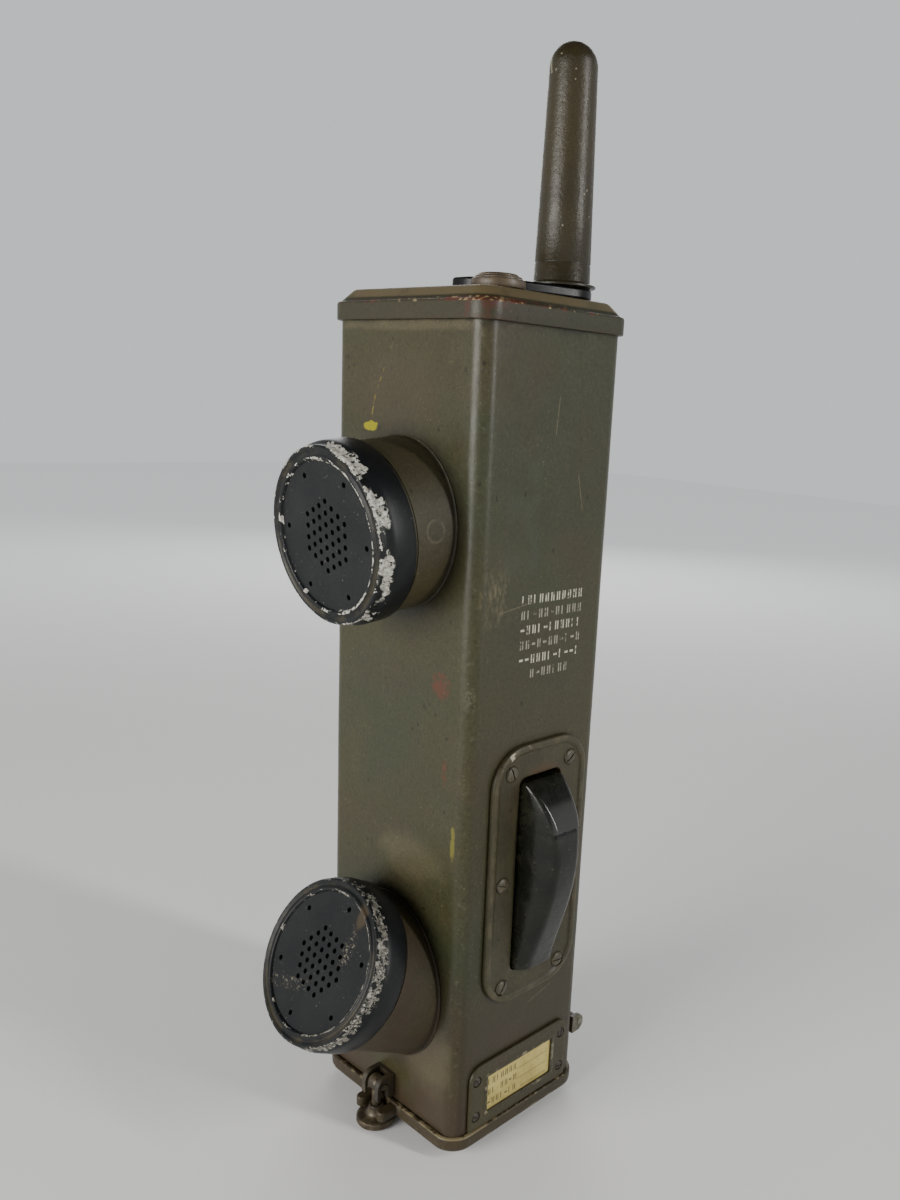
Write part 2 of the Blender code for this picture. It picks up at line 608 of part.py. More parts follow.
def make_strap_bars():
    """Rods between two ears on the back, for the ends of a carrying strap."""
    for name, half, low, high, reach in (("strap_bar_lower", 0.0375, 0.0235, 0.0310, 0.0071),
                                         ("strap_bar_upper", 0.0270, 0.2790, 0.2850, 0.0062)):
        height = (low + high) / 2
        y = FACE + reach - 0.0022
        thick, sheet = 0.0028, 0.0012
        bar = rod(name, (-half + 0.001, y, height), (half - 0.001, y, height), 0.0019, steel, sides=16)
        for side in (-1, 1):
            ear, foot = side * half, side * (half - 0.0100)
            inner = side * (half - thick)
            upright = block("bar_ear", (min(ear, inner), FACE + GAP, low), (max(ear, inner), FACE + reach, high),
                            axis=0, radius=0.003, segments=3, keep=lambda corner: corner.y > FACE + 0.002)
            base = block("bar_foot", (min(ear, foot), FACE + GAP, low), (max(ear, foot), FACE + GAP + sheet, high))
            join(bar, upright, base)


# ---------------------------------------------------------------- inside the case

def make_chassis():
    sheet = 0.0015
    plate = 0.3025
    frame = block("chassis_frame", (-0.0018, -0.0300, 0.0620), (-0.0003, 0.0140, plate + 0.001), steel)
    join(frame, block("chassis_top", (-0.0350, -0.0300, plate), (0.0350, 0.0300, plate + sheet)),
         block("chassis_foot", (-0.0010, -0.0300, 0.0620), (0.0260, 0.0100, 0.0620 + sheet)),
         block("battery_shelf", (-0.0340, -0.0300, 0.1700), (-0.0010, -0.0020, 0.1700 + sheet)))
    cut(frame, rod("chassis_aerial_hole", (*AERIAL, 0.29), (*AERIAL, 0.32), AERIAL_TUBES[0][0] + 0.0006))

    for index in range(5):
        low = 0.0660 + 0.0460 * index
        turned(f"valve_{index + 1}", [(0.0, low + 0.0400), (0.0040, low + 0.0390), (0.0090, low + 0.0330),
                                      (0.0090, low + 0.0060), (0.0075, low), (0.0, low)], glass,
               Matrix.Translation((0.0100, -0.0190, 0)), steps=16)
    block("if_can", (0.0020, -0.0070, 0.2000), (0.0160, 0.0070, 0.2350), aluminium)
    for index, low in enumerate((0.0760, 0.1500)):
        block(f"crystal_{index + 1}", (0.0020, -0.0050, low), (0.0130, 0.0130, low + 0.0220), black)

    block("b_battery", (-0.0352, -0.0008, 0.0110), (-0.0034, 0.0310, 0.2920), paper, radius=0.002, segments=2)
    rod("a_battery", (-0.0194, -0.0155, 0.0110), (-0.0194, -0.0155, 0.1600), 0.0141, paper)
    helix("battery_spring", (-0.0194, -0.0155), 0.1600 + GAP, 0.1700 - GAP, 0.0060, 0.0006, 3, steel)


for old in list(bpy.data.objects):
    bpy.data.objects.remove(old)
radio = collection("handheld_radio")
cutters = collection("cutters")

drab = material("olive_drab", (0.075, 0.068, 0.045), 0.62)
black = material("black_bakelite", (0.022, 0.025, 0.028), 0.40)
bakelite = material("brown_bakelite", (0.045, 0.038, 0.022), 0.42)
rubber = material("rubber", (0.025, 0.027, 0.026), 0.50)
steel = material("painted_steel", (0.110, 0.095, 0.070), 0.50, 0.6)
brass = material("brass", (0.300, 0.220, 0.110), 0.38, 0.9)
copper = material("copper", (0.420, 0.190, 0.090), 0.40, 0.9)
aluminium = material("aluminium", (0.500, 0.500, 0.490), 0.40, 0.9)
paper = material("cream_card", (0.700, 0.620, 0.350), 0.80)
glass = material("valve_glass", (0.300, 0.300, 0.300), 0.15)

case_shell = make_case()
make_top_cover()
make_bottom_cover()
make_cover_hinge()
make_latch()
make_cup("ear", EAR_HEIGHT, EAR_REACH, EAR_TILT, EAR_HOLE_TURN)
make_cup("mouth", MOUTH_HEIGHT, MOUTH_REACH, MOUTH_TILT, MOUTH_HOLE_TURN)
make_ptt_plate(case_shell)
make_ptt_lever()
make_card_frame(case_shell)
make_aerial()
make_strap()
make_strap_bars()
make_chassis()
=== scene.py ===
"""Looks of a 1940s hand-held radio: camera, light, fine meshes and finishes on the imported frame.

Metres, +Z up, front towards -Y, press-to-talk lever towards +X.
"""
import json
import math

import bmesh
import bpy
from mathutils import Matrix, Vector, noise


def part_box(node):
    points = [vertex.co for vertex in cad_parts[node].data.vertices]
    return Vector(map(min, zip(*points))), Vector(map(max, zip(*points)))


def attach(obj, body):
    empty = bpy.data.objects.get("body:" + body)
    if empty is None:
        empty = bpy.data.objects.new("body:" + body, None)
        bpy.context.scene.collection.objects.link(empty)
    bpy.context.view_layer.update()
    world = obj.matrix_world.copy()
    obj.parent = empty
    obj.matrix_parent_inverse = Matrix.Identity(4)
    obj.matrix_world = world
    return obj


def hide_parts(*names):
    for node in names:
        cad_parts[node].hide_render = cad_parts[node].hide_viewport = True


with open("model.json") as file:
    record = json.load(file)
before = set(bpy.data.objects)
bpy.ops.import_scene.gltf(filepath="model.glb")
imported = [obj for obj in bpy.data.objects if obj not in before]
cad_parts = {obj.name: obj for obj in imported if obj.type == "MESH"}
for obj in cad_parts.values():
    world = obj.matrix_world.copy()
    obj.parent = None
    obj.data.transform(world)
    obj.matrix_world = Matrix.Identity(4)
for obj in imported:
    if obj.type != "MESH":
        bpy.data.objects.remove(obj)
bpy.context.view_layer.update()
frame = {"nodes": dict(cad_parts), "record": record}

MM = 0.001
CASE_LOW, CASE_HIGH = (Vector(corner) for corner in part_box("case_shell"))
SIDE, FACE = CASE_HIGH.x, CASE_HIGH.y
CASE_WALL, CASE_CORNER = 2.5 * MM, 6.0 * MM

# ear and mouth cups: height of the cap's face, its reach in front of the case, tilt, turn of its holes
CUPS = {"ear": (0.2358, 0.0307, math.radians(-6.0), math.radians(27.0)),
        "mouth": (0.0813, 0.0324, math.radians(27.8), math.radians(49.2))}
NECK_RADIUS, NECK_BORE = 29.5 * MM, 25.2 * MM
HOLE_PITCH, HOLE_RADIUS, OUTER_HOLE_CIRCLE = 3.9 * MM, 0.95 * MM, 21.4 * MM

PTT_LOW, PTT_HIGH = (Vector(corner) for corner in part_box("ptt_plate"))
PTT_Y = (PTT_LOW.y + PTT_HIGH.y) / 2
OPENING = (22.0 * MM, 71.8 * MM, 149.6 * MM)       # width, lowest and highest edge
LEVER_LOW, LEVER_HIGH = (Vector(corner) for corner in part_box("ptt_lever"))
LEVER_PIVOT = (33.0 * MM, 76.0 * MM)
LEVER_CURVE = ((6.0, 0.0), (8.8, 15.7), (31.5, 57.9), (3.0, 75.4))    # Bezier in mm, out and up
PATCH_LOW = 0.775                                  # where the torn rubber starts, of the lever's height

AERIAL = Vector((19.6 * MM, 20.3 * MM, 0))
TOP_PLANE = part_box("top_cover")[1][2]
BUTTON = Vector((25.0 * MM, -16.0 * MM, 0))
LATCH_PIN = (-39.5 * MM, 17.2 * MM)                # y and z


# ---------------------------------------------------------------- camera and light

def aim(azimuth, elevation, roll):
    """A camera's rotation: azimuth 0 looks along +Y, elevation is above the horizon."""
    back = Vector((math.sin(azimuth) * math.cos(elevation),
                   -math.cos(azimuth) * math.cos(elevation), math.sin(elevation)))
    right = Vector((math.cos(azimuth), math.sin(azimuth), 0))
    up = back.cross(right)
    turned_right = right * math.cos(roll) + up * math.sin(roll)
    turned_up = up * math.cos(roll) - right * math.sin(roll)
    return Matrix((turned_right, turned_up, back)).transposed().to_4x4()


def make_camera():
    camera = bpy.data.objects.new("camera", bpy.data.cameras.new("camera"))
    bpy.context.scene.collection.objects.link(camera)
    camera.matrix_world = (Matrix.Translation((0.2792, -0.2620, 0.2844))
                           @ aim(math.radians(42.4), math.radians(13.645), math.radians(3.34)))
    camera.data.lens = 30.71
    camera.data.shift_x, camera.data.shift_y = -0.0785, 0.0378
    bpy.context.scene.camera = camera


def area_light(name, place, target, size, power, colour=(1, 1, 1)):
    lamp = bpy.data.objects.new(name, bpy.data.lights.new(name, "AREA"))
    bpy.context.scene.collection.objects.link(lamp)
    lamp.data.shape = "RECTANGLE"
    lamp.data.size, lamp.data.size_y = size
    lamp.data.energy = power
    lamp.data.color = colour
    lamp.location = place
    lamp.rotation_euler = (Vector(target) - Vector(place)).to_track_quat("-Z", "Y").to_euler()


def make_studio():
    """A pale room, dark overhead, with a broad light in front, one behind and a tall one at the right."""
    world = bpy.data.worlds.new("studio")
    world.use_nodes = True
    nodes, links = world.node_tree.nodes, world.node_tree.links
    background = nodes["Background"]
    background.inputs["Color"].default_value = (0.96, 0.98, 1.0, 1)
    split = nodes.new("ShaderNodeSeparateXYZ")
    fade = nodes.new("ShaderNodeMapRange")
    for name, value in (("From Min", 0.34), ("From Max", 0.70), ("To Min", 0.72), ("To Max", 0.08)):
        fade.inputs[name].default_value = value
    links.new(nodes.new("ShaderNodeTexCoord").outputs["Generated"], split.inputs[0])
    links.new(split.outputs["Z"], fade.inputs["Value"])
    links.new(fade.outputs[0], background.inputs["Strength"])
    bpy.context.scene.world = world
    middle = (0.0, 0.0, 0.20)
    area_light("key", (-0.12, -1.24, 0.42), middle, (0.75, 0.60), 16.5, (1.0, 0.98, 0.95))
    area_light("back", (-0.95, 0.95, 0.80), middle, (0.90, 0.90), 7.0)
    area_light("side", (1.15, 0.42, 0.66), middle, (0.11, 0.90), 10.0, (1.0, 0.99, 0.97))

    bpy.ops.mesh.primitive_plane_add(size=6.0, location=(0, 0, -0.0002))
    floor = bpy.context.object
    floor.name = "floor"
    surface = Finish("floor", roughness=0.85)
    surface.set("Base Color", (0.86, 0.86, 0.85, 1))
    distance = surface.add("ShaderNodeVectorMath", {0: surface.place}, operation="LENGTH").outputs["Value"]
    # the floor glows more the further out it is: painted light that fades it into the pale room
    surface.set("Emission Color", (0.96, 0.98, 1.0, 1))
    surface.set("Emission Strength", surface.times(surface.ramp(distance, 0.45, 1.6), 0.42))
    floor.data.materials.append(surface.material)


# ---------------------------------------------------------------- finishes

def srgb(red, green, blue):
    """A colour given as it looks on a screen, 0 to 255, in the renderer's linear values."""
    def linear(value):
        value /= 255
        return value / 12.92 if value <= 0.04045 else ((value + 0.055) / 1.055) ** 2.4
    return (linear(red), linear(green), linear(blue), 1.0)


class Finish:
    """One procedural material, with short calls that add nodes to it."""

    def __init__(self, name, roughness=0.5, metallic=0.0, place=None):
        self.material = bpy.data.materials.new(name)
        self.material.use_nodes = True
        self.tree = self.material.node_tree
        self.shader = self.tree.nodes["Principled BSDF"]
        self.place = self.add("ShaderNodeTexCoord").outputs["Object"]
        if place is not None:
            local = self.add("ShaderNodeMapping", {"Vector": self.place, "Location": place.translation,
                                                   "Rotation": place.to_euler()}, vector_type="TEXTURE")
            self.place = local.outputs[0]
        parts = self.add("ShaderNodeSeparateXYZ", {"Vector": self.place})
        self.x, self.y, self.z = (parts.outputs[index] for index in range(3))
        self.colour = None
        self.set("Roughness", roughness)
        self.set("Metallic", metallic)

    def add(self, kind, inputs=None, **settings):
        node = self.tree.nodes.new(kind)
        for key, value in settings.items():
            setattr(node, key, value)
        for key, value in (inputs or {}).items():
            self.feed(node.inputs[key], value)
        return node

    def feed(self, socket, value):
        if isinstance(value, bpy.types.NodeSocket):
            self.tree.links.new(value, socket)
        else:
            socket.default_value = value

    def set(self, name, value):
        self.feed(self.shader.inputs[name], value)

    def math(self, operation, first, second=0.0):
        return self.add("ShaderNodeMath", {0: first, 1: second}, operation=operation).outputs[0]

    def plus(self, first, second):
        return self.math("ADD", first, second)

    def minus(self, first, second):
        return self.math("SUBTRACT", first, second)

    def length(self, u, v):
        return self.math("SQRT", self.plus(self.times(u, u), self.times(v, v)))

    def between(self, value, low, high):
        """Turns 0 to 1 into low to high."""
        return self.add("ShaderNodeMapRange", {"Value": value, "To Min": low, "To Max": high}).outputs[0]

    def times(self, *factors):
        result = factors[0]
        for factor in factors[1:]:
            result = self.math("MULTIPLY", result, factor)
        return result

    def most(self, *values):
        result = values[0]
        for value in values[1:]:
            result = self.math("MAXIMUM", result, value)
        return result

    def noise(self, size, detail=3.0, roughness=0.55, stretch=(1, 1, 1), offset=0.0):
        """Cloudy noise whose features are about size millimetres wide."""
        scaled = self.add("ShaderNodeMapping", {"Vector": self.place, "Scale": stretch,
                                                "Location": (offset, offset * 0.7, -offset)})
        return self.add("ShaderNodeTexNoise", {"Vector": scaled.outputs[0], "Scale": 1.0 / (size * MM),
                                               "Detail": detail, "Roughness": roughness}).outputs["Fac"]

    def specks(self, size, share):
        """Small round spots, 0 to 1, in about that share of cells of that size in millimetres."""
        cell = self.add("ShaderNodeTexVoronoi", {"Vector": self.place, "Scale": 1.0 / (size * MM)})
        chosen = self.add("ShaderNodeSeparateColor", {"Color": cell.outputs["Color"]}).outputs[0]
        near = self.ramp(cell.outputs["Distance"], 0.30, 0.16)
        return self.times(near, self.ramp(chosen, share, share * 0.9))

    def ramp(self, value, low, high):
        """0 where value is low, 1 where it is high."""
        if low > high:
            return self.minus(1.0, self.ramp(value, high, low))
        return self.add("ShaderNodeMapRange", {"Value": value, "From Min": low, "From Max": high},
                        interpolation_type="SMOOTHSTEP").outputs[0]

    def clouds(self, size, low, high, detail=4, roughness=0.55, stretch=(1, 1, 1), offset=0.0):
        """Soft patches about size millimetres wide: 0 where the noise is low, 1 where it is high."""
        return self.ramp(self.noise(size, detail, roughness, stretch, offset), low, high)

    def near(self, value, centre, half, soft):
        """1 within half of a centre, falling to 0 over soft."""
        distance = self.math("ABSOLUTE", self.minus(value, centre))
        return self.ramp(distance, half + soft, half)

    def rise(self, value, low, high):
        """A ramp between two places in millimetres."""
        return self.ramp(value, low * MM, high * MM)

    def band(self, value, centre, half, soft):
        """1 near a place, all in millimetres."""
        return self.near(value, centre * MM, half * MM, soft * MM)

    def blob(self, across, up, centre, half, ragged=0.35, size=2.5, soft=0.3):
        """1 inside a ragged ellipse; its centre and half sizes are in millimetres."""
        u = self.math("DIVIDE", self.minus(across, centre[0] * MM), half[0] * MM)
        v = self.math("DIVIDE", self.minus(up, centre[1] * MM), half[1] * MM)
        distance = self.length(u, v)
        shift = self.times(self.minus(self.noise(size, 4), 0.5), 2 * ragged)
        return self.ramp(self.plus(distance, shift), 1 + soft / 2, 1 - soft / 2)

    def stroke(self, across, up, start, end, width, ragged=0.5):
        """1 along a thin line between two points in millimetres, fading here and there."""
        start, end = Vector(start) * MM, Vector(end) * MM
        run = (end - start).normalized()
        du, dv = self.minus(across, start[0]), self.minus(up, start[1])
        along = self.plus(self.times(du, run[0]), self.times(dv, run[1]))
        aside = self.minus(self.times(du, run[1]), self.times(dv, run[0]))
        half = (end - start).length / 2
        line = self.times(self.near(aside, 0, width * MM / 2, width * MM / 3),
                          self.near(along, half, half, half * 0.1))
        return self.times(line, self.ramp(self.noise(1.6, 3), 0.5 - ragged / 2, 0.55))

    def cell(self, value, pitch, start=0.0):
        """(which cell of that pitch in millimetres a place is in, and how far across it, 0 to 1)."""
        steps = self.math("DIVIDE", self.minus(value, start * MM), pitch * MM)
        return self.math("FLOOR", steps), self.math("FRACT", steps)

    def chance(self, first, second, seed):
        """A random number, 0 to 1, for each pair of cells."""
        pair = self.add("ShaderNodeCombineXYZ", {0: first, 1: second, 2: seed})
        return self.add("ShaderNodeTexWhiteNoise", {"Vector": pair.outputs[0]}).outputs["Value"]

    def tally(self, start, top, columns, rows, pitch, row_pitch):
        """Rows of plain tally strokes and dashes: a filled grid that spells nothing. Returns (ink, row)."""
        column, u = self.cell(self.y, pitch, start)
        row, v = self.cell(self.minus(top * MM, self.z), row_pitch)
        kind = self.chance(column, row, 0.37)
        stroke_zone = self.near(v, 0.5, 0.27, 0.04)
        first = self.times(self.near(u, 0.30, 0.07, 0.05), stroke_zone, self.ramp(kind, 0.16, 0.17))
        second = self.times(self.near(u, 0.68, 0.07, 0.05), stroke_zone, self.ramp(kind, 0.42, 0.43))
        dash = self.times(self.near(u, 0.5, 0.28, 0.05), self.near(v, 0.5, 0.055, 0.04),
                          self.ramp(kind, 0.16, 0.15))
        inside = self.times(self.near(column, (columns - 1) / 2, columns / 2 - 0.4, 0.1),
                            self.near(row, (rows - 1) / 2, rows / 2 - 0.4, 0.1))
        return self.times(self.most(first, second, dash), inside), row

    def mix(self, factor, first, second):
        node = self.add("ShaderNodeMix", data_type="RGBA")
        self.feed(node.inputs["Factor"], factor)
        self.feed(node.inputs[6], first)
        self.feed(node.inputs[7], second)
        return node.outputs[2]

    def coat(self, tone, *masks):
        """Lays a tone over the colour so far, as strongly as the masks together say."""
        self.colour = self.mix(self.times(*masks), self.colour, tone)

    def bump(self, height, depth, strength=1.0, under=None):
        inputs = {"Height": height, "Distance": depth * MM, "Strength": strength}
        if under is not None:
            inputs["Normal"] = under
        return self.add("ShaderNodeBump", inputs).outputs["Normal"]

    def skin(self, shine, *bumps):
        """Ends a finish with its colour so far, its shine and its bumps (height, depth, strength)."""
        under = None
        for height, depth, strength in bumps:
            under = self.bump(height, depth, strength, under)
        self.set("Base Color", self.colour)
        self.set("Specular IOR Level", shine)
        self.set("Normal", under)
        return self


DRAB = srgb(59, 56, 34)
DRAB_GREEN = srgb(52, 55, 36)
DRAB_BROWN = srgb(60, 47, 35)
# dark brown: dirt and pits in places, painted shade in corners, creases and under parts in others
GRIME_AND_SHADE = srgb(28, 24, 15)
DUST = srgb(128, 118, 90)
PRIMER = srgb(104, 42, 28)


def drab_paint(name, brown=0.35, tone=DRAB, dark=DRAB_GREEN, extra=None, gloss=0.32):
    """Old matt paint: clouds of tone, brown patches, orange peel, dust, pits and fine scratches."""
    f = Finish(name)
    f.colour = f.mix(f.clouds(60, 0.36, 0.64), dark, tone)
    f.coat(DRAB_BROWN, f.clouds(30, 0.46, 0.70, 5, 0.6, offset=0.31), brown)
    f.coat(GRIME_AND_SHADE, f.clouds(1.5, 0.42, 0.72, 5, 0.7), 0.40)
    f.coat(DUST, f.clouds(0.8, 0.55, 0.75, 3, offset=0.6), 0.12)
    f.coat(DUST, f.specks(1.3, 0.14), f.clouds(22, 0.48, 0.72, 3, offset=0.9), 0.48)
    f.coat(GRIME_AND_SHADE, f.specks(3.1, 0.05), 0.65)
    scratches = []
    for stretch, seed in (((1.0, 1.0, 22.0), 0.5), ((9.0, 9.0, 1.6), 1.7)):
        line = f.noise(11, 1.5, stretch=stretch, offset=seed)
        scratches.append(f.near(line, 0.62, 0.0012, 0.0035))
    f.coat(DUST, f.most(*scratches), f.clouds(13, 0.52, 0.62, 3, offset=2.2), 0.38)
    if extra:
        extra(f)
    f.set("Roughness", f.between(f.noise(9, 5), gloss, gloss + 0.22))
    return f.skin(0.33, (f.noise(1.2, 3), 0.10, 0.7), (f.noise(12, 3), 0.3, 0.5))


# ---------------------------------------------------------------- mesh tools

def rounded_ring(half_x, half_y, radii, height, corner=10, side=1, centre=(0, 0)):
    """Points round a rectangle with rounded corners, anticlockwise from its +X -Y corner."""
    if not isinstance(radii, (tuple, list)):
        radii = (radii,) * 4
    corners = []
    for (sign_x, sign_y), start, radius in zip(((1, -1), (1, 1), (-1, 1), (-1, -1)),
                                               (-90, 0, 90, 180), radii):
        middle = Vector((sign_x * (half_x - radius), sign_y * (half_y - radius)))
        arc = []
        for step in range(corner + 1):
            angle = math.radians(start + 90 * step / corner)
            arc.append(middle + radius * Vector((math.cos(angle), math.sin(angle))))
        corners.append(arc)
    points = []
    for index, arc in enumerate(corners):
        points += arc
        following = corners[(index + 1) % 4][0]
        for step in range(1, side):
            points.append(arc[-1].lerp(following, step / side))
    return [Vector((point.x + centre[0], point.y + centre[1], height)) for point in points]


def circle_ring(radius, height, steps):
    if radius == 0:
        return [Vector((0, 0, height))]
    return [Vector((radius * math.cos(2 * math.pi * i / steps),
                    radius * math.sin(2 * math.pi * i / steps), height)) for i in range(steps)]


def loft(name, rings, closed=False, place=None, sharp=40):
    """A skin through rings of points; a ring of one point is a pole, and closed joins last to first."""
    bm = bmesh.new()
    rows = [[bm.verts.new(point) for point in ring] for ring in rings]
    pairs = list(zip(rows, rows[1:])) + ([(rows[-1], rows[0])] if closed else [])
    for lower, upper in pairs:
        count = max(len(lower), len(upper))
        for index in range(count):
            after = (index + 1) % count
            corners = [lower[index % len(lower)], lower[after % len(lower)],
                       upper[after % len(upper)], upper[index % len(upper)]]
            unique = [v for i, v in enumerate(corners) if v not in corners[:i]]
            bm.faces.new(unique)
    if not closed:
        for row in (rows[0], rows[-1]):
            if len(row) > 2:
                bm.faces.new(row)
    bmesh.ops.recalc_face_normals(bm, faces=bm.faces)
    return link(name, bm, place, sharp)


def link(name, bm, place=None, sharp=40):
    mesh = bpy.data.meshes.new(name)
    bm.to_mesh(mesh)
    bm.free()
    mesh.shade_smooth()
    mesh.set_sharp_from_angle(angle=math.radians(sharp))
    made = bpy.data.objects.new(name, mesh)
    bpy.context.scene.collection.objects.link(made)
    if place is not None:
        made.matrix_world = place
    return made


def turned(name, profile, steps=96, place=None, sharp=40):
    """A solid of revolution about local Z from (radius, height) points in millimetres."""
    rings = [circle_ring(radius * MM, height * MM, steps) for radius, height in profile]
    return loft(name, rings, closed=profile[0][0] != 0, place=place, sharp=sharp)


def box(name, low, high, bevel=0.0, segments=3):
    """A box between two corners in millimetres, with rounded edges."""
    low, high = Vector(low) * MM, Vector(high) * MM
    bm = bmesh.new()
    bmesh.ops.create_cube(bm, size=1.0)
    bmesh.ops.scale(bm, vec=high - low, verts=bm.verts)
    bmesh.ops.translate(bm, vec=(low + high) / 2, verts=bm.verts)
    if bevel:
        bmesh.ops.bevel(bm, geom=list(bm.edges), offset=bevel * MM, segments=segments, profile=0.5,
                        affect="EDGES")
    return link(name, bm)


def tube(name, start, end, radius, sides=40, bevel=0.0):
    """A cylinder between two points in millimetres, with rounded rims."""
    start, end = Vector(start) * MM, Vector(end) * MM
    length = (end - start).length / MM
    edge = [(radius - bevel * (1 - math.sin(a)), bevel * (1 - math.cos(a)))
            for a in (math.radians(30 * i) for i in range(4))] if bevel else [(radius, 0)]
    profile = [(0, length)] + [(r, length - h) for r, h in edge]
    profile += [(r, h) for r, h in reversed(edge)] + [(0, 0)]
    turn = Vector((0, 0, 1)).rotation_difference(end - start).to_matrix().to_4x4()
    return turned(name, profile, sides, Matrix.Translation(start) @ turn)


def combine(target, others, operation):
    """Applies a Boolean with each of the others and removes them."""
    for other in others:
        modifier = target.modifiers.new("Boolean", "BOOLEAN")
        modifier.operation = operation
        modifier.object = other
    bpy.context.view_layer.update()
    made = bpy.data.meshes.new_from_object(target.evaluated_get(bpy.context.evaluated_depsgraph_get()))
    target.modifiers.clear()
    target.data = made
    made.set_sharp_from_angle(angle=math.radians(40))
    for other in others:
        bpy.data.objects.remove(other)
    return target


def cut(target, *others):
    return combine(target, others, "DIFFERENCE")


def join(target, *others):
    return combine(target, others, "UNION")


def round_edges(piece, width, segments=2, angle=35):
    bevel = piece.modifiers.new("Bevel", "BEVEL")
    bevel.width = width * MM
    bevel.segments = segments
    bevel.limit_method = "ANGLE"
    bevel.angle_limit = math.radians(angle)
    bevel.harden_normals = True
    return piece


def fit(piece, finish, *nodes):
    """Gives a piece its finish and body, in place of the CAD nodes it stands for."""
    piece.data.transform(piece.matrix_world)
    piece.matrix_world = Matrix.Identity(4)
    piece.data.materials.clear()
    piece.data.materials.append(finish.material)
    body = next(name for name, members in frame["record"]["behaviour"]["bodies"].items()
                if nodes[0] in members)
    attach(piece, body)
    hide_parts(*nodes)
    return piece


def wobble(point, size, depth, seed=0.0):
    """How far hand-worn sheet metal stands off its true face."""
    return depth * MM * noise.noise(point / (size * MM) + Vector((seed, seed, seed)))


def arc(centre, radius, start, end, steps=8):
    """Points in millimetres along a circle, between two angles in degrees."""
    angles = [math.radians(start + (end - start) * step / steps) for step in range(steps + 1)]
    return [(centre[0] + radius * math.cos(a), centre[1] + radius * math.sin(a)) for a in angles]


def slab(name, outline, axis, low, high):
    """A flat shape with a thickness along one axis, in millimetres; the outline is in the other two."""
    order = {"X": (2, 0, 1), "Y": (0, 2, 1), "Z": (0, 1, 2)}[axis]
    rings = []
    for level in (low, high):
        rings.append([Vector([(u, v, level)[index] for index in order]) * MM for u, v in outline])
    return loft(name, rings)


def rounded_outline(half_u, half_v, radius, centre):
    """The outline of a rounded rectangle, in millimetres."""
    ring = rounded_ring(half_u, half_v, radius, 0, corner=6)
    return [(point.x + centre[0], point.y + centre[1]) for point in ring]


def on_right(rings):
    """Rings given as (across, up, out from the case) put on the right side of the case."""
    return [[Vector((SIDE + point.z, point.x, point.y)) for point in ring] for ring in rings]


def soften(corners, radii, steps=5):
    """Corner points of a section, each replaced by a short curve of about that radius."""
    points = []
    count = len(corners)
    for index, (corner, radius) in enumerate(zip(corners, radii)):
        before, after = corners[index - 1], corners[(index + 1) % count]
        start = corner.lerp(before, min(0.48, radius / (before - corner).length))
        end = corner.lerp(after, min(0.48, radius / (after - corner).length))
        for step in range(steps + 1):
            t = step / steps
            points.append(start.lerp(corner, t).lerp(corner.lerp(end, t), t))
    return points


def finer(node, finish, bevel=0.3):
    """A copy of a CAD piece with its edges rounded by bevel millimetres."""
    bm = bmesh.new()
    bm.from_mesh(frame["nodes"][node].data)
    bmesh.ops.remove_doubles(bm, verts=bm.verts, dist=0.005 * MM)
    bmesh.ops.dissolve_limit(bm, angle_limit=math.radians(1), verts=bm.verts, edges=bm.edges)
    piece = link(node + "_fine", bm, sharp=30)
    round_edges(piece, bevel)
    return fit(piece, finish, node)


# ---------------------------------------------------------------- case and covers

def dented(ring, size, depth, seed=0.0):
    """The ring drawn in a little, by as much as a cloud of noise says."""
    moved = []
    for point in ring:
        dent = depth * MM / 2 + wobble(point, size, depth / 2, seed)
        moved.append(Vector((point.x * (1 - dent / SIDE), point.y * (1 - dent / FACE), point.z)))
    return moved


def side_holes(places, radius):
    """Cutters into the right side at (y, z) places in millimetres."""
    return [tube("side_hole", (SIDE / MM - 5, y, z), (SIDE / MM + 5, y, z), radius, sides=24)
            for y, z in places]


def ptt_screw_places():
    row, wide_row = 15.45, 17.7
    rows = ((152.5, row), (109.8, wide_row), (67.1, row))
    return [(PTT_Y / MM + side * half, height) for height, half in rows for side in (-1, 1)]


def card_screw_places():
    return [(side * 23.4, height) for height in (30.9, 15.5) for side in (-1, 1)]


def make_case():
    low, high = CASE_LOW.z, CASE_HIGH.z
    levels, across = 80, 16
    rings = [rounded_ring(SIDE, FACE, CASE_CORNER, low + (high - low) * level / levels, side=across)
             for level in range(levels + 1)]
    rings = [dented(ring, 34, 0.14) for ring in rings]
    inner = (SIDE - CASE_WALL, FACE - CASE_WALL, CASE_CORNER - CASE_WALL)
    rings += [rounded_ring(*inner, height, side=across) for height in (high, low)]
    shell = loft("case_fine", rings, closed=True)
    width, bottom, top = (value / MM for value in OPENING)
    wall = (SIDE / MM - 5, SIDE / MM + 5)
    middle = (PTT_Y / MM, (top + bottom) / 2)
    doorway = slab("doorway", rounded_outline(width / 2, (top - bottom) / 2, 3, middle), "X", *wall)
    wires = [tube("wire_hole", (0, -FACE / MM - 5, cup[0] / MM), (0, -FACE / MM + 5, cup[0] / MM), 12)
             for cup in CUPS.values()]
    cut(shell, doorway, *wires, *side_holes(ptt_screw_places(), 1.8), *side_holes(card_screw_places(), 1.25))
    return fit(shell, drab_paint("case_paint", extra=case_marks, gloss=0.26), "case_shell")


def cover_rings(profile, proud, seed):
    """Rings of a pressed cover from (inset behind its skirt, height, corner radius) in millimetres."""
    rings = []
    for inset, height, radius in profile:
        grown = proud - inset * MM
        ring = rounded_ring(SIDE + grown, FACE + grown, radius * MM, height * MM, side=16)
        rings.append(dented(ring, 22, 0.10, seed))
    return rings


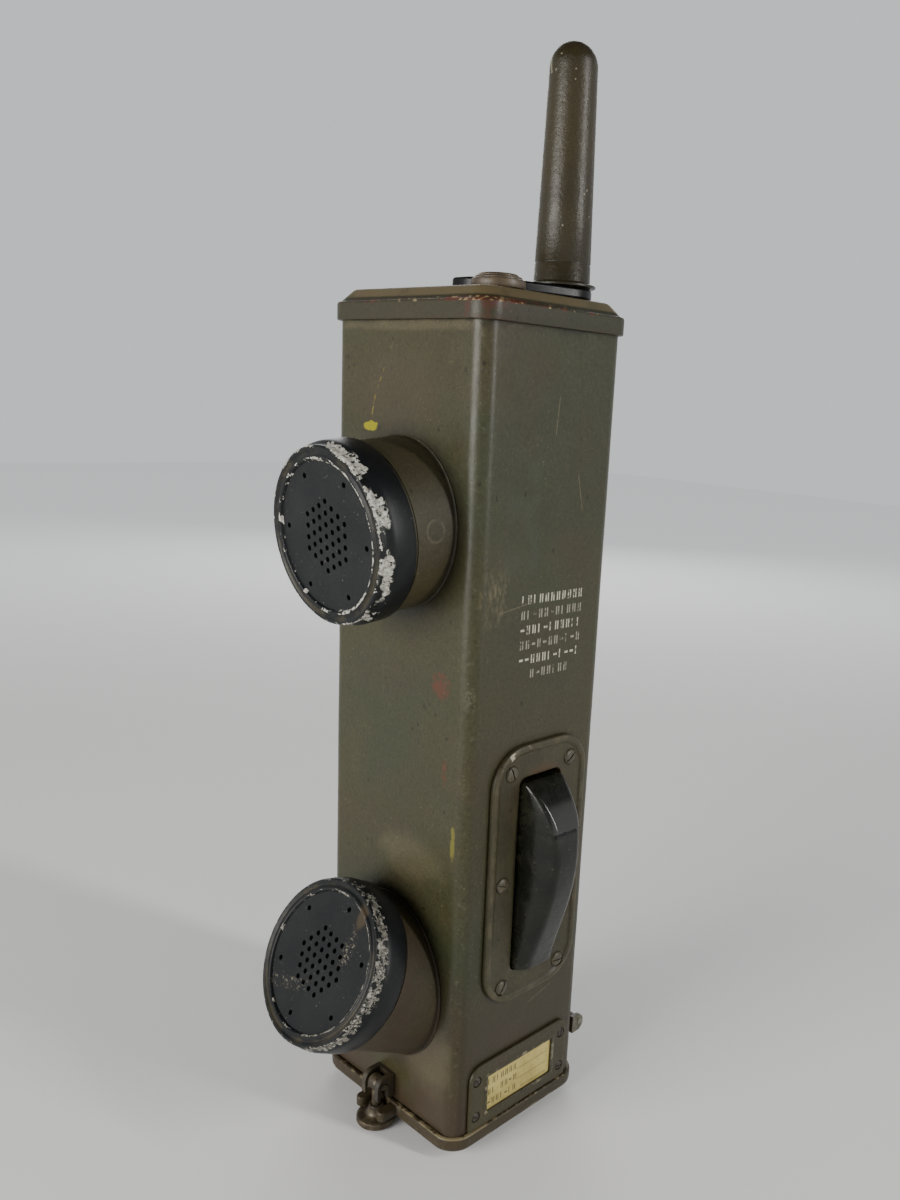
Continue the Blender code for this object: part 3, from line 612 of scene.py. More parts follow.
def make_top_cover():
    proud, ceiling = 1.7 * MM, 312.6
    pocket = 1.4
    profile = [(pocket, ceiling, 6.3), (pocket, 307.0, 6.3), (1.1, 306.7, 6.5), (0.35, 306.7, 7.2),
               (0.08, 306.85, 7.4), (0.0, 307.2, 7.5), (0.0, 312.0, 7.5), (0.10, 312.5, 7.5),
               (0.40, 312.85, 7.3), (0.85, 312.98, 7.0), (1.15, 313.05, 6.8), (1.45, 313.3, 6.6),
               (1.80, 313.7, 6.4), (4.60, 316.75, 5.0), (5.00, 317.1, 4.8), (5.50, 317.38, 4.6),
               (6.30, 317.5, 4.2), (7.50, 317.5, 3.6), (9.50, 317.5, 3.0)]
    cover = loft("top_cover_fine", cover_rings(profile, proud, 3.0))
    bore = tube("aerial_bore", AERIAL / MM + Vector((0, 0, 300)), AERIAL / MM + Vector((0, 0, 330)), 5.3)
    cut(cover, bore)
    return fit(cover, drab_paint("top_paint", extra=top_marks), "top_cover")


def make_bottom_cover():
    proud = 1.9 * MM
    profile = [(7.9, 3.0, 4.0), (7.9, 9.3, 4.0), (7.6, 9.6, 4.0), (5.3, 9.6, 2.6), (5.3, 7.8, 2.6),
               (3.1, 7.8, 4.8), (3.1, 9.6, 4.8), (0.9, 9.62, 8.7), (0.45, 9.55, 9.0), (0.12, 9.3, 9.4),
               (0.0, 8.9, 9.5), (0.0, 5.6, 9.5), (0.08, 5.0, 9.5), (0.35, 4.4, 9.3), (0.9, 3.85, 9.0),
               (5.2, 0.62, 6.4), (5.8, 0.22, 6.0), (6.6, 0.0, 5.5), (8.0, 0.0, 5.0), (12.0, 0.0, 4.0)]
    cover = loft("bottom_cover_fine", cover_rings(profile, proud, 7.0))
    y = LATCH_PIN[0] / MM
    nut_space = tube("nut_space", (0, y, -5), (0, y, 3.9), 8.4, sides=72)
    hub_space = tube("hub_space", (0, y, -5), (0, y, 20), 4.0)
    cut(cover, nut_space, hub_space)
    face = -FACE / MM
    for side in (-1, 1):
        middle, half, front = side * 6.4, 2.2, face - 9.5
        outline = [(middle + half, face + 1.0)]
        outline += [(middle + half, face - 2.2)]
        outline += arc((middle, front + half), half, 0, -180, 12)
        outline += [(middle - half, face - 2.2), (middle - half, face + 1.0)]
        prong = round_edges(slab("fork_prong", outline, "Z", 4.6, 9.0), 0.8, 3, 60)
        join(cover, prong)
    finer("bottom_gasket", rubber, 0.2)
    paint = drab_paint("bottom_paint", 0.7, tone=srgb(60, 51, 34), dark=srgb(52, 46, 31), extra=bottom_marks)
    return fit(cover, paint, "bottom_cover")


def make_hinge():
    for node in ("hinge_case_leaf", "hinge_cover_leaf", "hinge_pin"):
        finer(node, steel)


# ---------------------------------------------------------------- latch

def make_latch():
    y, z = (value / MM for value in LATCH_PIN)
    face = -FACE / MM - 0.3
    front, top, bottom = face - 8.3, z + 4.0, z - 5.7
    outline = [(face, bottom), (face, top)] + arc((front + 3.9, top - 3.9), 3.9, 90, 180)
    outline += arc((front + 1.2, bottom + 1.2), 1.2, 180, 270, 4)
    ears = [slab("clevis_ear", outline, "X", *sorted((side * 2.9, side * 5.1))) for side in (-1, 1)]
    web = box("clevis_web", (-4.0, y + 3.6, bottom), (4.0, face, top))
    clevis = join(ears[0], ears[1], web)
    clevis.name = "latch_clevis_fine"
    way = [(y - 2.2, z - 12), (y + 1.8, z - 12)] + arc((y - 0.2, z - 0.3), 2.0, 0, 180, 10)
    cut(clevis, slab("pin_way", way, "X", -20, 20))
    round_edges(clevis, 0.55, 3, 50)
    fit(clevis, latch_paint, "latch_clevis")

    eye = [(1.75, 2.3), (2.0, 2.55), (2.45, 2.5), (2.85, 2.15), (3.07, 1.6), (3.1, 1.0), (3.1, -1.0),
           (3.07, -1.6), (2.85, -2.15), (2.45, -2.5), (2.0, -2.55), (1.75, -2.3)]
    bolt = turned("swing_bolt_fine", eye, 48,
                  Matrix.Translation((0, y * MM, z * MM)) @ Matrix.Rotation(math.pi / 2, 4, "Y"))
    join(bolt, tube("shank", (0, y, z - 2.6), (0, y, 1.2), 1.9, bevel=0.3))
    fit(bolt, worn_metal, "swing_bolt")
    finer("latch_pin", worn_metal, 0.35)

    knurls, tooth = 54, 0.28
    profile = [(2.2, 7.6), (2.75, 7.6), (2.98, 7.35), (3.2, 5.9), (3.55, 4.7), (3.85, 4.1), (4.5, 3.62),
               (5.6, 3.38), (7.0, 3.3), (7.5, 3.1), (7.8, 2.75), (7.8, 0.95), (7.5, 0.55), (7.1, 0.4),
               (2.2, 0.4)]
    nut = turned("thumb_nut_fine", profile, knurls * 3, Matrix.Translation((0, y * MM, 0)), sharp=30)
    for vertex in nut.data.vertices:
        across = vertex.co.xy.length
        turn = math.atan2(vertex.co.y, vertex.co.x) / (2 * math.pi) * knurls
        if across > 7.6 * MM and round(turn * 3) % 3 == 0:
            vertex.co.xy *= 1 - tooth * MM / across
    fit(nut, worn_metal, "thumb_nut")


# ---------------------------------------------------------------- ear and mouth cups

def cup_place(height, reach, tilt):
    """Local Z points out of the cup, from the centre of its perforated face, and local Y up."""
    return (Matrix.Translation((0, -FACE - reach, height))
            @ Matrix.Rotation(math.pi / 2 - tilt, 4, "X"))


# the ear neck's tone is its paint; the mouth neck's darker tone is painted shade
NECK_TONE_AND_SHADE = {"ear": srgb(54, 50, 34), "mouth": srgb(46, 40, 26)}


def make_neck(side, place):
    """The tube from the case's face to the screw cap, with a rounded foot."""
    steps, foot, lip, behind = 96, 0.7 * MM, -5.0 * MM, -13.0 * MM
    spigot = NECK_RADIUS - 1.1 * MM
    out = (place.to_3x3() @ Vector((0, 0, 1))).normalized()
    wall_face = -FACE - 0.3 * MM

    def ring(radius, height):
        return [place @ point for point in circle_ring(radius, height, steps)]

    def on_case(point):
        """The point slid along the cup's axis to the case's face."""
        return point - out * ((point.y - wall_face) / out.y)

    bore_foot = [on_case(point) for point in ring(NECK_BORE, behind)]
    rings = [bore_foot, ring(NECK_BORE, lip), ring(spigot - 0.4 * MM, lip), ring(spigot, lip - 0.4 * MM),
             ring(spigot, behind), ring(NECK_RADIUS - 0.3 * MM, behind),
             ring(NECK_RADIUS, behind - 0.3 * MM), ring(NECK_RADIUS, behind - 0.9 * MM),
             ring(NECK_RADIUS - 0.3 * MM, behind - 1.0 * MM),
             ring(NECK_RADIUS - 0.3 * MM, behind - 1.3 * MM), ring(NECK_RADIUS, behind - 1.4 * MM)]
    tube_end = rings[-1]
    corner = [on_case(point) for point in ring(NECK_RADIUS, behind)]
    middle = sum(corner, Vector()) / len(corner)
    for step in range(9):
        t = step / 8
        level = []
        for start, meet in zip(tube_end, corner):
            room = (start - meet).length * 0.92
            first = meet + out * min(foot * 1.25, room)
            last = meet + (meet - middle).normalized() * foot
            level.append(first.lerp(meet, t).lerp(meet.lerp(last, t), t))
        rings.append(level)
    neck = loft(side + "_neck_fine", rings, closed=True, sharp=50)
    paint = drab_paint(side + "_neck_paint", 0.2, tone=srgb(60, 55, 32), dark=NECK_TONE_AND_SHADE[side],
                       extra=neck_marks, gloss=0.46)
    return fit(neck, paint, side + "_neck")


CAP_PROFILE = [(0.0, 0.0), (16.0, 0.0), (24.4, 0.0), (24.8, 0.06), (25.0, 0.3), (25.15, 0.7),
               (25.5, 0.98), (26.0, 1.06), (26.5, 0.95), (26.85, 0.62), (27.3, 0.45), (27.8, 0.5),
               (28.2, 0.8), (28.7, 1.05), (29.2, 0.98), (29.65, 0.55), (29.8, -0.1), (29.65, -0.95),
               (29.75, -1.8), (30.3, -2.7), (30.75, -3.5), (31.0, -5.0), (31.0, -12.0), (30.8, -12.5),
               (30.5, -12.7), (28.8, -12.7), (28.8, -3.2), (0.0, -3.2)]


def make_cup(side, height, reach, tilt, hole_turn):
    place = cup_place(height, reach, tilt)
    make_neck(side, place)
    cap = turned(side + "_cap_fine", CAP_PROFILE, 144, place, sharp=50)
    spots = []
    for q in range(-3, 4):
        for r in range(-3, 4):
            if abs(q + r) <= 3:
                spots.append(HOLE_PITCH * Vector((q + r / 2, r * math.sin(math.pi / 3), 0)))
    turn = Matrix.Rotation(hole_turn, 4, "Z")
    spots = [turn @ spot for spot in spots]
    for index in range(6):
        angle = hole_turn + math.radians(30 + 60 * index)
        spots.append(OUTER_HOLE_CIRCLE * Vector((math.cos(angle), math.sin(angle), 0)))
    bm = bmesh.new()
    for spot in spots:
        bmesh.ops.create_cone(bm, cap_ends=True, segments=20, radius1=HOLE_RADIUS, radius2=HOLE_RADIUS,
                              depth=12 * MM, matrix=Matrix.Translation(spot))
    cut(cap, link("cap_holes", bm, place))
    fit(cap, cap_paint(side, place), side + "_cap")
    finer(side + "_gasket", rubber, 0.2)
    frame["nodes"][side + "_capsule"].data.materials.clear()
    frame["nodes"][side + "_capsule"].data.materials.append(black_plastic.material)


# ---------------------------------------------------------------- press-to-talk

def make_screw(name, place_yz, head, base, turn, finish):
    """A slotted oval-head screw set into the right side, its head's underside at base."""
    length, slot = 4.5, head * 0.2
    profile = [(0.0, 0.46), (0.3, 0.455), (0.6, 0.42), (0.82, 0.34), (0.94, 0.24), (1.0, 0.12), (1.0, 0.0)]
    profile = [(head * radius, head * height) for radius, height in profile]
    profile += [(head / 2, 0), (head / 2, -length), (0, -length)]
    place = (Matrix.Translation((base * MM, place_yz[0] * MM, place_yz[1] * MM))
             @ Matrix.Rotation(math.pi / 2, 4, "Y") @ Matrix.Rotation(math.radians(turn), 4, "Z"))
    screw = turned(name + "_fine", profile, 40, place)
    cutter = box("slot", (-2 * head, -slot / 2, head * 0.22), (2 * head, slot / 2, head * 2))
    cutter.matrix_world = place
    return fit(cut(screw, cutter), finish, name)


def plate_rings(half_u, half_v, centre, radii, window, window_radius, profile, lip):
    """A plate with a window, on the right side: (inset, out) in from its edge, then round the window."""
    rings = []
    for inset, out in profile:
        corners = [max(0.25 * MM, radius * MM - inset * MM) for radius in radii]
        rings.append(rounded_ring((half_u - inset) * MM, (half_v - inset) * MM, corners, out * MM,
                                  centre=[value * MM for value in centre], side=8))
    for grow, out in lip:
        rings.append(rounded_ring((window[0] + grow) * MM, (window[1] + grow) * MM,
                                  (window_radius + grow) * MM, out * MM, side=8,
                                  centre=[window[2] * MM, window[3] * MM]))
    return on_right(rings)


def make_ptt_plate():
    low, high = PTT_LOW / MM, PTT_HIGH / MM
    half_u, half_v = (high.y - low.y) / 2, (high.z - low.z) / 2
    centre = (PTT_Y / MM, (low.z + high.z) / 2)
    width, bottom, top = (value / MM for value in OPENING)
    window = (width / 2, (top - bottom) / 2, PTT_Y / MM, (top + bottom) / 2)
    flat = 1.3
    profile = [(0.0, 0.3), (0.0, 1.2), (0.12, 1.55), (0.45, 1.9), (1.0, 2.07), (1.8, 2.1), (2.5, 2.02),
               (2.95, 1.75), (3.2, 1.42), (3.45, flat), (4.2, flat)]
    lip = [(1.4, flat), (0.6, flat), (0.15, flat - 0.15), (0.0, flat - 0.5), (0.0, 0.3)]
    rings = plate_rings(half_u, half_v, centre, [15] * 4, window, 3.0, profile, lip)
    plate = loft("ptt_plate_fine", rings, closed=True, sharp=50)
    sink = SIDE / MM + flat - 0.4
    cutters = [tube("screw_sink", (sink, y, z), (sink + 3, y, z), 3.2) for y, z in ptt_screw_places()]
    cut(plate, *side_holes(ptt_screw_places(), 1.8), *cutters)
    fit(plate, drab_paint("plate_paint", brown=0.6, dark=srgb(55, 52, 35), extra=plate_marks), "ptt_plate")
    for index, (place, turn) in enumerate(zip(ptt_screw_places(), (20, -55, 70, 10, -30, 85))):
        make_screw(f"ptt_screw_{index + 1}", place, 3.0, sink + 0.05, turn, screw_paint)


def clamp(value):
    return max(0.0, min(1.0, value))


def bezier(points, t):
    """The point at t, 0 to 1, of the curve with these control points."""
    points = [Vector(point) for point in points]
    while len(points) > 1:
        points = [start.lerp(end, t) for start, end in zip(points, points[1:])]
    return points[0]


def make_ptt_lever():
    """A rubber-covered lever: a long wedge, highest about two thirds up, with a pivot at its foot."""
    low, high = LEVER_LOW.z / MM, LEVER_HIGH.z / MM
    base, crown, crown_top = 10.0, 6.0, 9.2
    y, side_face = PTT_Y / MM, SIDE / MM
    inner, shoulder = side_face - 3.5, side_face + 1.6
    pivot_x, pivot_z = (value / MM for value in LEVER_PIVOT)
    hub = [(low, 32.0), (pivot_z, 29.6), (pivot_z + 3.8, 32.5), (pivot_z + 6.5, inner), (high, inner)]

    def back(height):
        for (low_z, low_x), (high_z, high_x) in zip(hub, hub[1:]):
            if height <= high_z:
                return low_x + (high_x - low_x) * max(0.0, height - low_z) / (high_z - low_z)
        return inner

    def section(t, shrink):
        out, up = bezier(LEVER_CURVE, t)
        height, outer = low + up, side_face + out
        rise = up / (high - low)
        patch = 0.55 * clamp((rise - PATCH_LOW) / 0.004) * clamp((0.95 - rise) / 0.12)
        narrow = crown + (crown_top - crown) * max(0.0, (rise - 0.62) / 0.38) ** 1.6
        edge = min(shoulder, outer - 0.6)
        inside = back(height)
        middle = Vector(((inside + outer) / 2, 0))
        flank = Vector((edge + (outer - edge) * 0.55, -base + (base - narrow) * 0.30))
        corners = [Vector((inside, -base)), Vector((edge, -base)), flank, Vector((outer + patch, -narrow)),
                   Vector((outer + patch, narrow)), Vector((flank.x, -flank.y)), Vector((edge, base)),
                   Vector((inside, base))]
        points = soften(corners, (0.8, 1.6, 3.5, 2.2, 2.2, 3.5, 1.6, 0.8), 6)
        points = [middle + (point - middle) * (1 - shrink) for point in points]
        return [Vector((point.x, y + point.y, height)) * MM for point in points]

    ends = ((0.0, 0.08), (0.004, 0.03), (0.012, 0.008))
    steps = [0.02 + 0.96 * step / 150 for step in range(151)]
    levels = list(ends) + [(t, 0.0) for t in steps] + [(1 - t, shrink) for t, shrink in reversed(ends)]
    lever = loft("ptt_lever_fine", [section(t, shrink) for t, shrink in levels], sharp=70)
    cut(lever, tube("lever_bore", (pivot_x, y - 15, pivot_z), (pivot_x, y + 15, pivot_z), 1.8))
    fit(lever, lever_rubber, "ptt_lever")
    finer("ptt_pin", steel, 0.3)
    finer("ptt_bracket", steel, 0.3)
    finer("tr_switch", black_plastic, 0.4)
    finer("tr_plunger", brass, 0.3)


# ---------------------------------------------------------------- data card

def make_card_frame():
    half, low, high = 27.0, 10.2, 37.3
    window = (17.7, (30.7 - 15.4) / 2, 0.0, (30.7 + 15.4) / 2)
    flat, front = 1.25, 1.5
    profile = [(0.0, 0.3), (0.0, flat - 0.35), (0.12, flat - 0.1), (0.4, flat), (2.0, flat)]
    lip = [(2.4, flat), (1.9, flat + 0.05), (1.5, front - 0.06), (1.0, front), (0.45, front),
           (0.1, front - 0.12), (0.0, front - 0.4), (0.0, 0.9), (1.8, 0.9), (1.8, 0.3)]
    small, large = 0.6, 6.0
    rings = plate_rings(half, (high - low) / 2, (0.0, (high + low) / 2), (small, large, large, small),
                        window, 0.35, profile, lip)
    piece = loft("card_frame_fine", rings, closed=True, sharp=50)
    sink = SIDE / MM + flat - 0.7
    cutters = [tube("screw_sink", (sink, y, z), (sink + 3, y, z), 2.1) for y, z in card_screw_places()]
    cut(piece, *side_holes(card_screw_places(), 1.25), *cutters)
    paint = drab_paint("card_frame_paint", brown=0.7, dark=srgb(56, 51, 35), extra=card_frame_marks)
    fit(piece, paint, "card_frame")
    for index, (place, turn) in enumerate(zip(card_screw_places(), (35, -15, 60, 80))):
        make_screw(f"card_screw_{index + 1}", place, 1.9, sink + 0.05, turn, dark_screw_paint)

    card = box("data_card_fine", (SIDE / MM + 0.3, -19.2, 13.9), (SIDE / MM + 0.6, 19.2, 32.2), 0.08, 2)
    fit(card, card_print(), "data_card")


# ---------------------------------------------------------------- aerial, strap and button

def make_aerial():
    place = Matrix.Translation(AERIAL)
    base, top = (value.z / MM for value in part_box("aerial_cap"))
    wide, narrow, flange, thread = 10.1, 8.3, 12.2, 7.6
    dome_start = top - narrow
    angles = [math.radians(7.5 * step) for step in range(13)]
    profile = [(narrow * math.sin(angle), dome_start + narrow * math.cos(angle)) for angle in angles]
    foot, scribe = base + 1.1, TOP_PLANE / MM + 12.5
    taper = (wide - narrow) / (dome_start - foot)

    def wall(height):
        return narrow + taper * (dome_start - height)
    profile += [(wall(height), height) for height in (dome_start - 8, dome_start - 24, dome_start - 44)]
    for drop, depth in ((0.35, 0.0), (0.15, 0.16), (-0.15, 0.16), (-0.35, 0.0)):
        profile.append((wall(scribe) - depth, scribe + drop))
    profile += [(wall(foot + 0.8), foot + 0.8), (wide + 0.35, foot + 0.25), (wide + 0.9, foot),
                (flange - 0.4, foot - 0.02), (flange - 0.08, foot - 0.2), (flange, foot - 0.5),
                (flange - 0.08, base + 0.2), (flange - 0.4, base), (thread, base), (thread, 337.0),
                (6.2, 356.0), (5.0, 380.0), (0.0, 380.0)]
    cap = turned("aerial_cap_fine", profile, 96, place, sharp=45)
    fit(cap, aerial_brown, "aerial_cap")
    for node in ("aerial_base", "aerial_lower", "aerial_middle", "aerial_rod", "aerial_bushing"):
        finer(node, brass, 0.15)
    finer("loading_coil", copper_wire, 0.3)


def make_strap():
    """A black rubber strap with an eye round the aerial; its free end lies in the crook of the button."""
    x, y, plane = AERIAL.x / MM, AERIAL.y / MM, TOP_PLANE / MM + 0.3
    button, radius = BUTTON / MM, 9.0
    outline = arc((x, y), 10.9, -18, 190, 24)
    outline += arc((7.4, -16.4), 3.0, 180, 270, 7) + [(13.4, -19.1)]
    outline += arc(button, radius + 0.7, 193, 97, 14) + [(25.5, -3.0)]
    strap = slab("cap_strap_fine", outline, "Z", plane, plane + 4.0)
    cut(strap, tube("strap_eye", (x, y, plane - 5), (x, y, plane + 9), 7.6, sides=64))
    round_edges(strap, 1.6, 5, 50)
    fit(strap, strap_rubber, "cap_strap")

    profile = [(0.0, 4.8), (3.0, 4.78), (5.4, 4.66), (6.3, 4.42), (6.6, 4.1), (6.62, 3.8), (6.8, 3.66),
               (7.2, 3.74), (7.6, 3.62), (7.85, 3.3), (7.85, 2.9), (8.0, 2.74), (8.4, 2.8), (8.8, 2.62),
               (9.0, 2.2), (9.0, 0.3), (8.8, 0.0), (0.0, 0.0)]
    seat = Matrix.Translation(BUTTON + Vector((0, 0, plane * MM)))
    button = turned("strap_button_fine", profile, 96, seat)
    fit(button, button_paint, "strap_button")


def make_strap_bars():
    """A rod riveted into two bent ears, on the back of the case, low down and near the top."""
    for node in ("strap_bar_lower", "strap_bar_upper"):
        low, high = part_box(node)
        half, back = high.x / MM, high.y / MM
        bottom, top, face = low.z / MM, high.z / MM, low.y / MM
        y, height, radius = back - 2.2, (bottom + top) / 2, 1.9
        bend = (top - bottom) / 2 - 0.2
        bar = tube(node + "_fine", (-half + 0.4, y, height), (half - 0.4, y, height), radius, 32)
        parts = []
        for side in (-1, 1):
            ear = [(face, bottom)] + arc((back - bend, bottom + bend), bend, -90, 0, 8)
            ear += arc((back - bend, top - bend), bend, 0, 90, 8) + [(face, top)]
            outer, inner = side * (half - 0.4), side * (half - 2.6)
            plate = slab("bar_ear", ear, "X", min(outer, inner), max(outer, inner))
            round_edges(plate, 0.35, 3, 50)
            left, right = sorted((outer, side * (half - 10.0)))
            foot = box("bar_foot", (left, face, bottom), (right, face + 1.2, top), 0.3)
            start, end = sorted((side * (half - 1.0), side * half))
            parts += [plate, foot, tube("bar_rivet", (start, y, height), (end, y, height), 1.7, 28, 0.35)]
        fit(join(bar, *parts), bar_finish, node)


# ---------------------------------------------------------------- inside the case

def make_inside():
    finishes = {"chassis_frame": chassis_metal, "if_can": chassis_metal, "crystal_1": black_plastic,
                "crystal_2": black_plastic, "a_battery": battery_wrap, "b_battery": battery_wrap,
                "battery_spring": steel}
    for index in range(5):
        finishes[f"valve_{index + 1}"] = valve_glass
    for node, finish in finishes.items():
        finer(node, finish, 0.35)


# ---------------------------------------------------------------- marks and special finishes

def on_front(f):
    return f.ramp(f.y, -FACE + 1.2 * MM, -FACE + 0.6 * MM)


def on_side(f):
    return f.ramp(f.x, SIDE - 1.2 * MM, SIDE - 0.6 * MM)


def case_marks(f):
    front, side = on_front(f), on_side(f)
    # painted shade round the feet of the cups, under the top cover and over the bottom one
    for height, reach, tilt, _ in CUPS.values():
        foot = (height - reach * math.tan(tilt)) / MM
        half = NECK_RADIUS / MM
        ring = f.blob(f.x, f.z, (0, foot), (half + 3.2, (half + 3.2) / math.cos(tilt)), 0.10, 5, 0.22)
        f.coat(GRIME_AND_SHADE, ring, front, 0.55)
    shade_under_covers = f.most(f.rise(f.z, 303.0, 306.5), f.rise(f.z, 13.5, 10.0))
    f.coat(GRIME_AND_SHADE, shade_under_covers, f.clouds(6, 0.35, 0.65), 0.6)
    # browner paint low down, painted shade darkening the side towards the bottom and a stain high on the
    # front
    f.coat(DRAB_BROWN, f.rise(f.z, 90, 15), f.clouds(24, 0.32, 0.56, offset=1.1), 0.8)
    f.coat(GRIME_AND_SHADE, f.rise(f.z, 190, 25), side, 0.26)
    stain = f.blob(f.x, f.z, (-3, 283), (20, 12), 0.4, 9, 0.9)
    f.coat(srgb(74, 62, 52), stain, front, 0.28)
    # dust caught on the lower front and along the top cover's edge
    for centre, half in (((10, 116), (16, 8)), ((24, 40), (12, 14)), ((0, 305), (36, 1.6))):
        zone = f.times(f.blob(f.x, f.z, centre, half, 0.4, 6, 1.0), front)
        f.coat(DUST, zone, 0.16)
        f.coat(DUST, zone, f.clouds(0.7, 0.54, 0.72, 4, 0.7, offset=0.2), 0.45)
    # yellow paint spilt over the ear cup, a thin run above it and a smear lower down
    f.coat(srgb(142, 136, 0), f.blob(f.x, f.z, (-17.5, 271), (3.6, 1.7), 0.6, 3, 0.25), front)
    run = f.most(f.stroke(f.x, f.z, (-17.6, 272.5), (-15.2, 282.0), 0.5, 0.3),
                 f.stroke(f.x, f.z, (-15.2, 282.0), (-10.5, 291.0), 0.35, 0.1))
    f.coat(srgb(140, 124, 30), run, front, 0.5)
    smear = f.blob(f.x, f.z, (33, 129), (1.1, 5.5), 0.8, 3, 0.6)
    f.coat(srgb(128, 122, 44), smear, front, 0.5)
    # worn red-brown rubs
    for centre, half, share in (((24, 185), (4.4, 4.6), 0.6), ((27.4, 154.3), (1.3, 4.5), 0.5)):
        rub = f.times(f.blob(f.x, f.z, centre, half, 0.5, 4, 0.5), f.clouds(1.4, 0.38, 0.55))
        f.coat(srgb(90, 42, 28), rub, front, share)
    # worn paint down the front corner and a painted sheen on the side, a lighter grey-green patch
    edge = f.rise(f.minus(f.x, f.y), 69.0, 69.7)
    knock = f.times(f.band(f.z, 183, 2, 4), f.clouds(1.2, 0.45, 0.62, offset=1.5))
    rubbed = f.most(knock, f.times(f.clouds(2.5, 0.56, 0.70, 5), 0.5))
    f.coat(srgb(122, 120, 104), edge, rubbed, 0.28)
    # painted sheen: the side's paint lighter and greener in this patch
    patch = f.times(f.band(f.y, -13, 7, 3), f.band(f.z, 244, 17, 5), side)
    f.coat(srgb(62, 68, 56), patch, f.clouds(11, 0.36, 0.6, offset=0.9), 0.3)
    # a dusty scuff, thin scratches and dark specks on the side
    streaks = f.clouds(1.6, 0.42, 0.72, 5, 0.7, (1, 1, 0.4), 1.2)
    scuff = f.times(f.blob(f.y, f.z, (-24, 217), (7, 9), 0.5, 5, 1.2), streaks)
    f.coat(srgb(132, 122, 92), scuff, side, 0.42)
    scratches = (((2, 284), (1, 272)), ((-22, 212), (-9, 214)), ((14, 258), (17, 246)), ((4, 53), (16, 56)))
    for start, end in scratches:
        f.coat(DUST, f.stroke(f.y, f.z, start, end, 0.3), side, 0.36)
    for centre in ((-12.5, 252), (-26, 251), (19.5, 250), (3, 232), (-9, 178)):
        f.coat(GRIME_AND_SHADE, f.blob(f.y, f.z, centre, (0.5, 1.0), 0.3, 1, 0.3), side, 0.8)
    # stencilled rows, reduced to tally strokes
    ink, row = f.tally(-12.0, 218.2, 11, 6, 2.95, 5.4)
    short = f.most(f.ramp(row, 4.6, 4.4), f.band(f.y, 3.8, 9.8, 0.2))
    bright = f.minus(0.88, f.times(f.math("FLOORED_MODULO", row, 2.0), 0.42))
    worn = f.clouds(1.7, 0.34, 0.50, offset=0.8)
    f.coat(srgb(200, 196, 176), ink, short, bright, worn, side)


def top_marks(f):
    corner = f.rise(f.minus(f.x, f.y), 40, 74)
    edge = f.band(f.z, 312.9, 0.55, 0.4)
    chips = f.ramp(f.plus(f.noise(3.5, 5, 0.65), f.times(corner, 0.16)), 0.56, 0.62)
    f.coat(PRIMER, edge, chips, 0.85)
    specks = f.ramp(f.plus(f.noise(1.6, 4, offset=0.4), f.times(corner, 0.1)), 0.62, 0.68)
    f.coat(srgb(186, 168, 120), edge, specks, 0.8)
    skirt = f.times(f.rise(f.z, 313.4, 312.6), f.rise(f.minus(f.x, f.y), 65.0, 69.0))
    f.coat(srgb(82, 42, 32), skirt, f.clouds(5, 0.46, 0.60, offset=0.7), 0.7)
    f.coat(srgb(70, 46, 34), f.rise(f.z, 308.2, 306.9), f.clouds(5, 0.45, 0.65, offset=0.3), 0.5)
    # painted shade along the ledge where the slope starts, and over the skirt below it
    f.coat(GRIME_AND_SHADE, f.band(f.z, 313.6, 0.5, 0.5), 0.5)
    f.coat(GRIME_AND_SHADE, f.rise(f.z, 313.4, 312.4), 0.35)
    # the slope and the top lighter: dust in clouds and painted light
    f.coat(srgb(100, 88, 62), f.rise(f.z, 313.9, 314.8), f.clouds(12, 0.1, 0.5, offset=1.6), 0.72)


def bottom_marks(f):
    corner = f.rise(f.minus(f.x, f.y), 30, 74)
    rim = f.rise(f.z, 9.0, 9.45)
    worn = f.ramp(f.plus(f.noise(4, 5, 0.65), f.times(corner, 0.14)), 0.53, 0.62)
    f.coat(srgb(130, 118, 88), rim, worn, 0.8)
    f.coat(srgb(140, 130, 104), f.band(f.z, 4.6, 0.6, 0.5), f.clouds(6, 0.56, 0.64, 5, offset=0.5), 0.6)


def plate_marks(f):
    border = f.ramp(f.x, SIDE + 1.75 * MM, SIDE + 1.98 * MM)
    upper = f.times(f.rise(f.z, 150, 163), f.ramp(f.y, PTT_Y + 4 * MM, PTT_Y - 14 * MM))
    level = f.plus(f.noise(3.2, 5, 0.65), f.times(upper, 0.13))
    f.coat(srgb(176, 170, 146), border, f.ramp(level, 0.68, 0.71), 0.9)
    f.coat(DUST, border, f.clouds(5, 0.42, 0.7, offset=0.4), 0.16)
    # painted shade on the parts of the plate lower than its border: the flat, the window's lip and the outer
    # edge
    recess_shade = f.ramp(f.x, SIDE + 1.75 * MM, SIDE + 1.45 * MM)
    f.coat(GRIME_AND_SHADE, recess_shade, 0.25, f.clouds(7, 0.4, 0.6, offset=0.2))
    lip = f.blob(f.y, f.z, (PTT_Y / MM + 1, OPENING[2] / MM + 1.2), (8.0, 2.0), 0.4, 4, 0.5)
    f.coat(srgb(72, 56, 34), lip, 0.7)


def card_frame_marks(f):
    raised = f.ramp(f.x, SIDE + 1.36 * MM, SIDE + 1.48 * MM)
    f.coat(srgb(150, 142, 116), raised, f.clouds(4, 0.52, 0.62, 5, 0.6), 0.55)


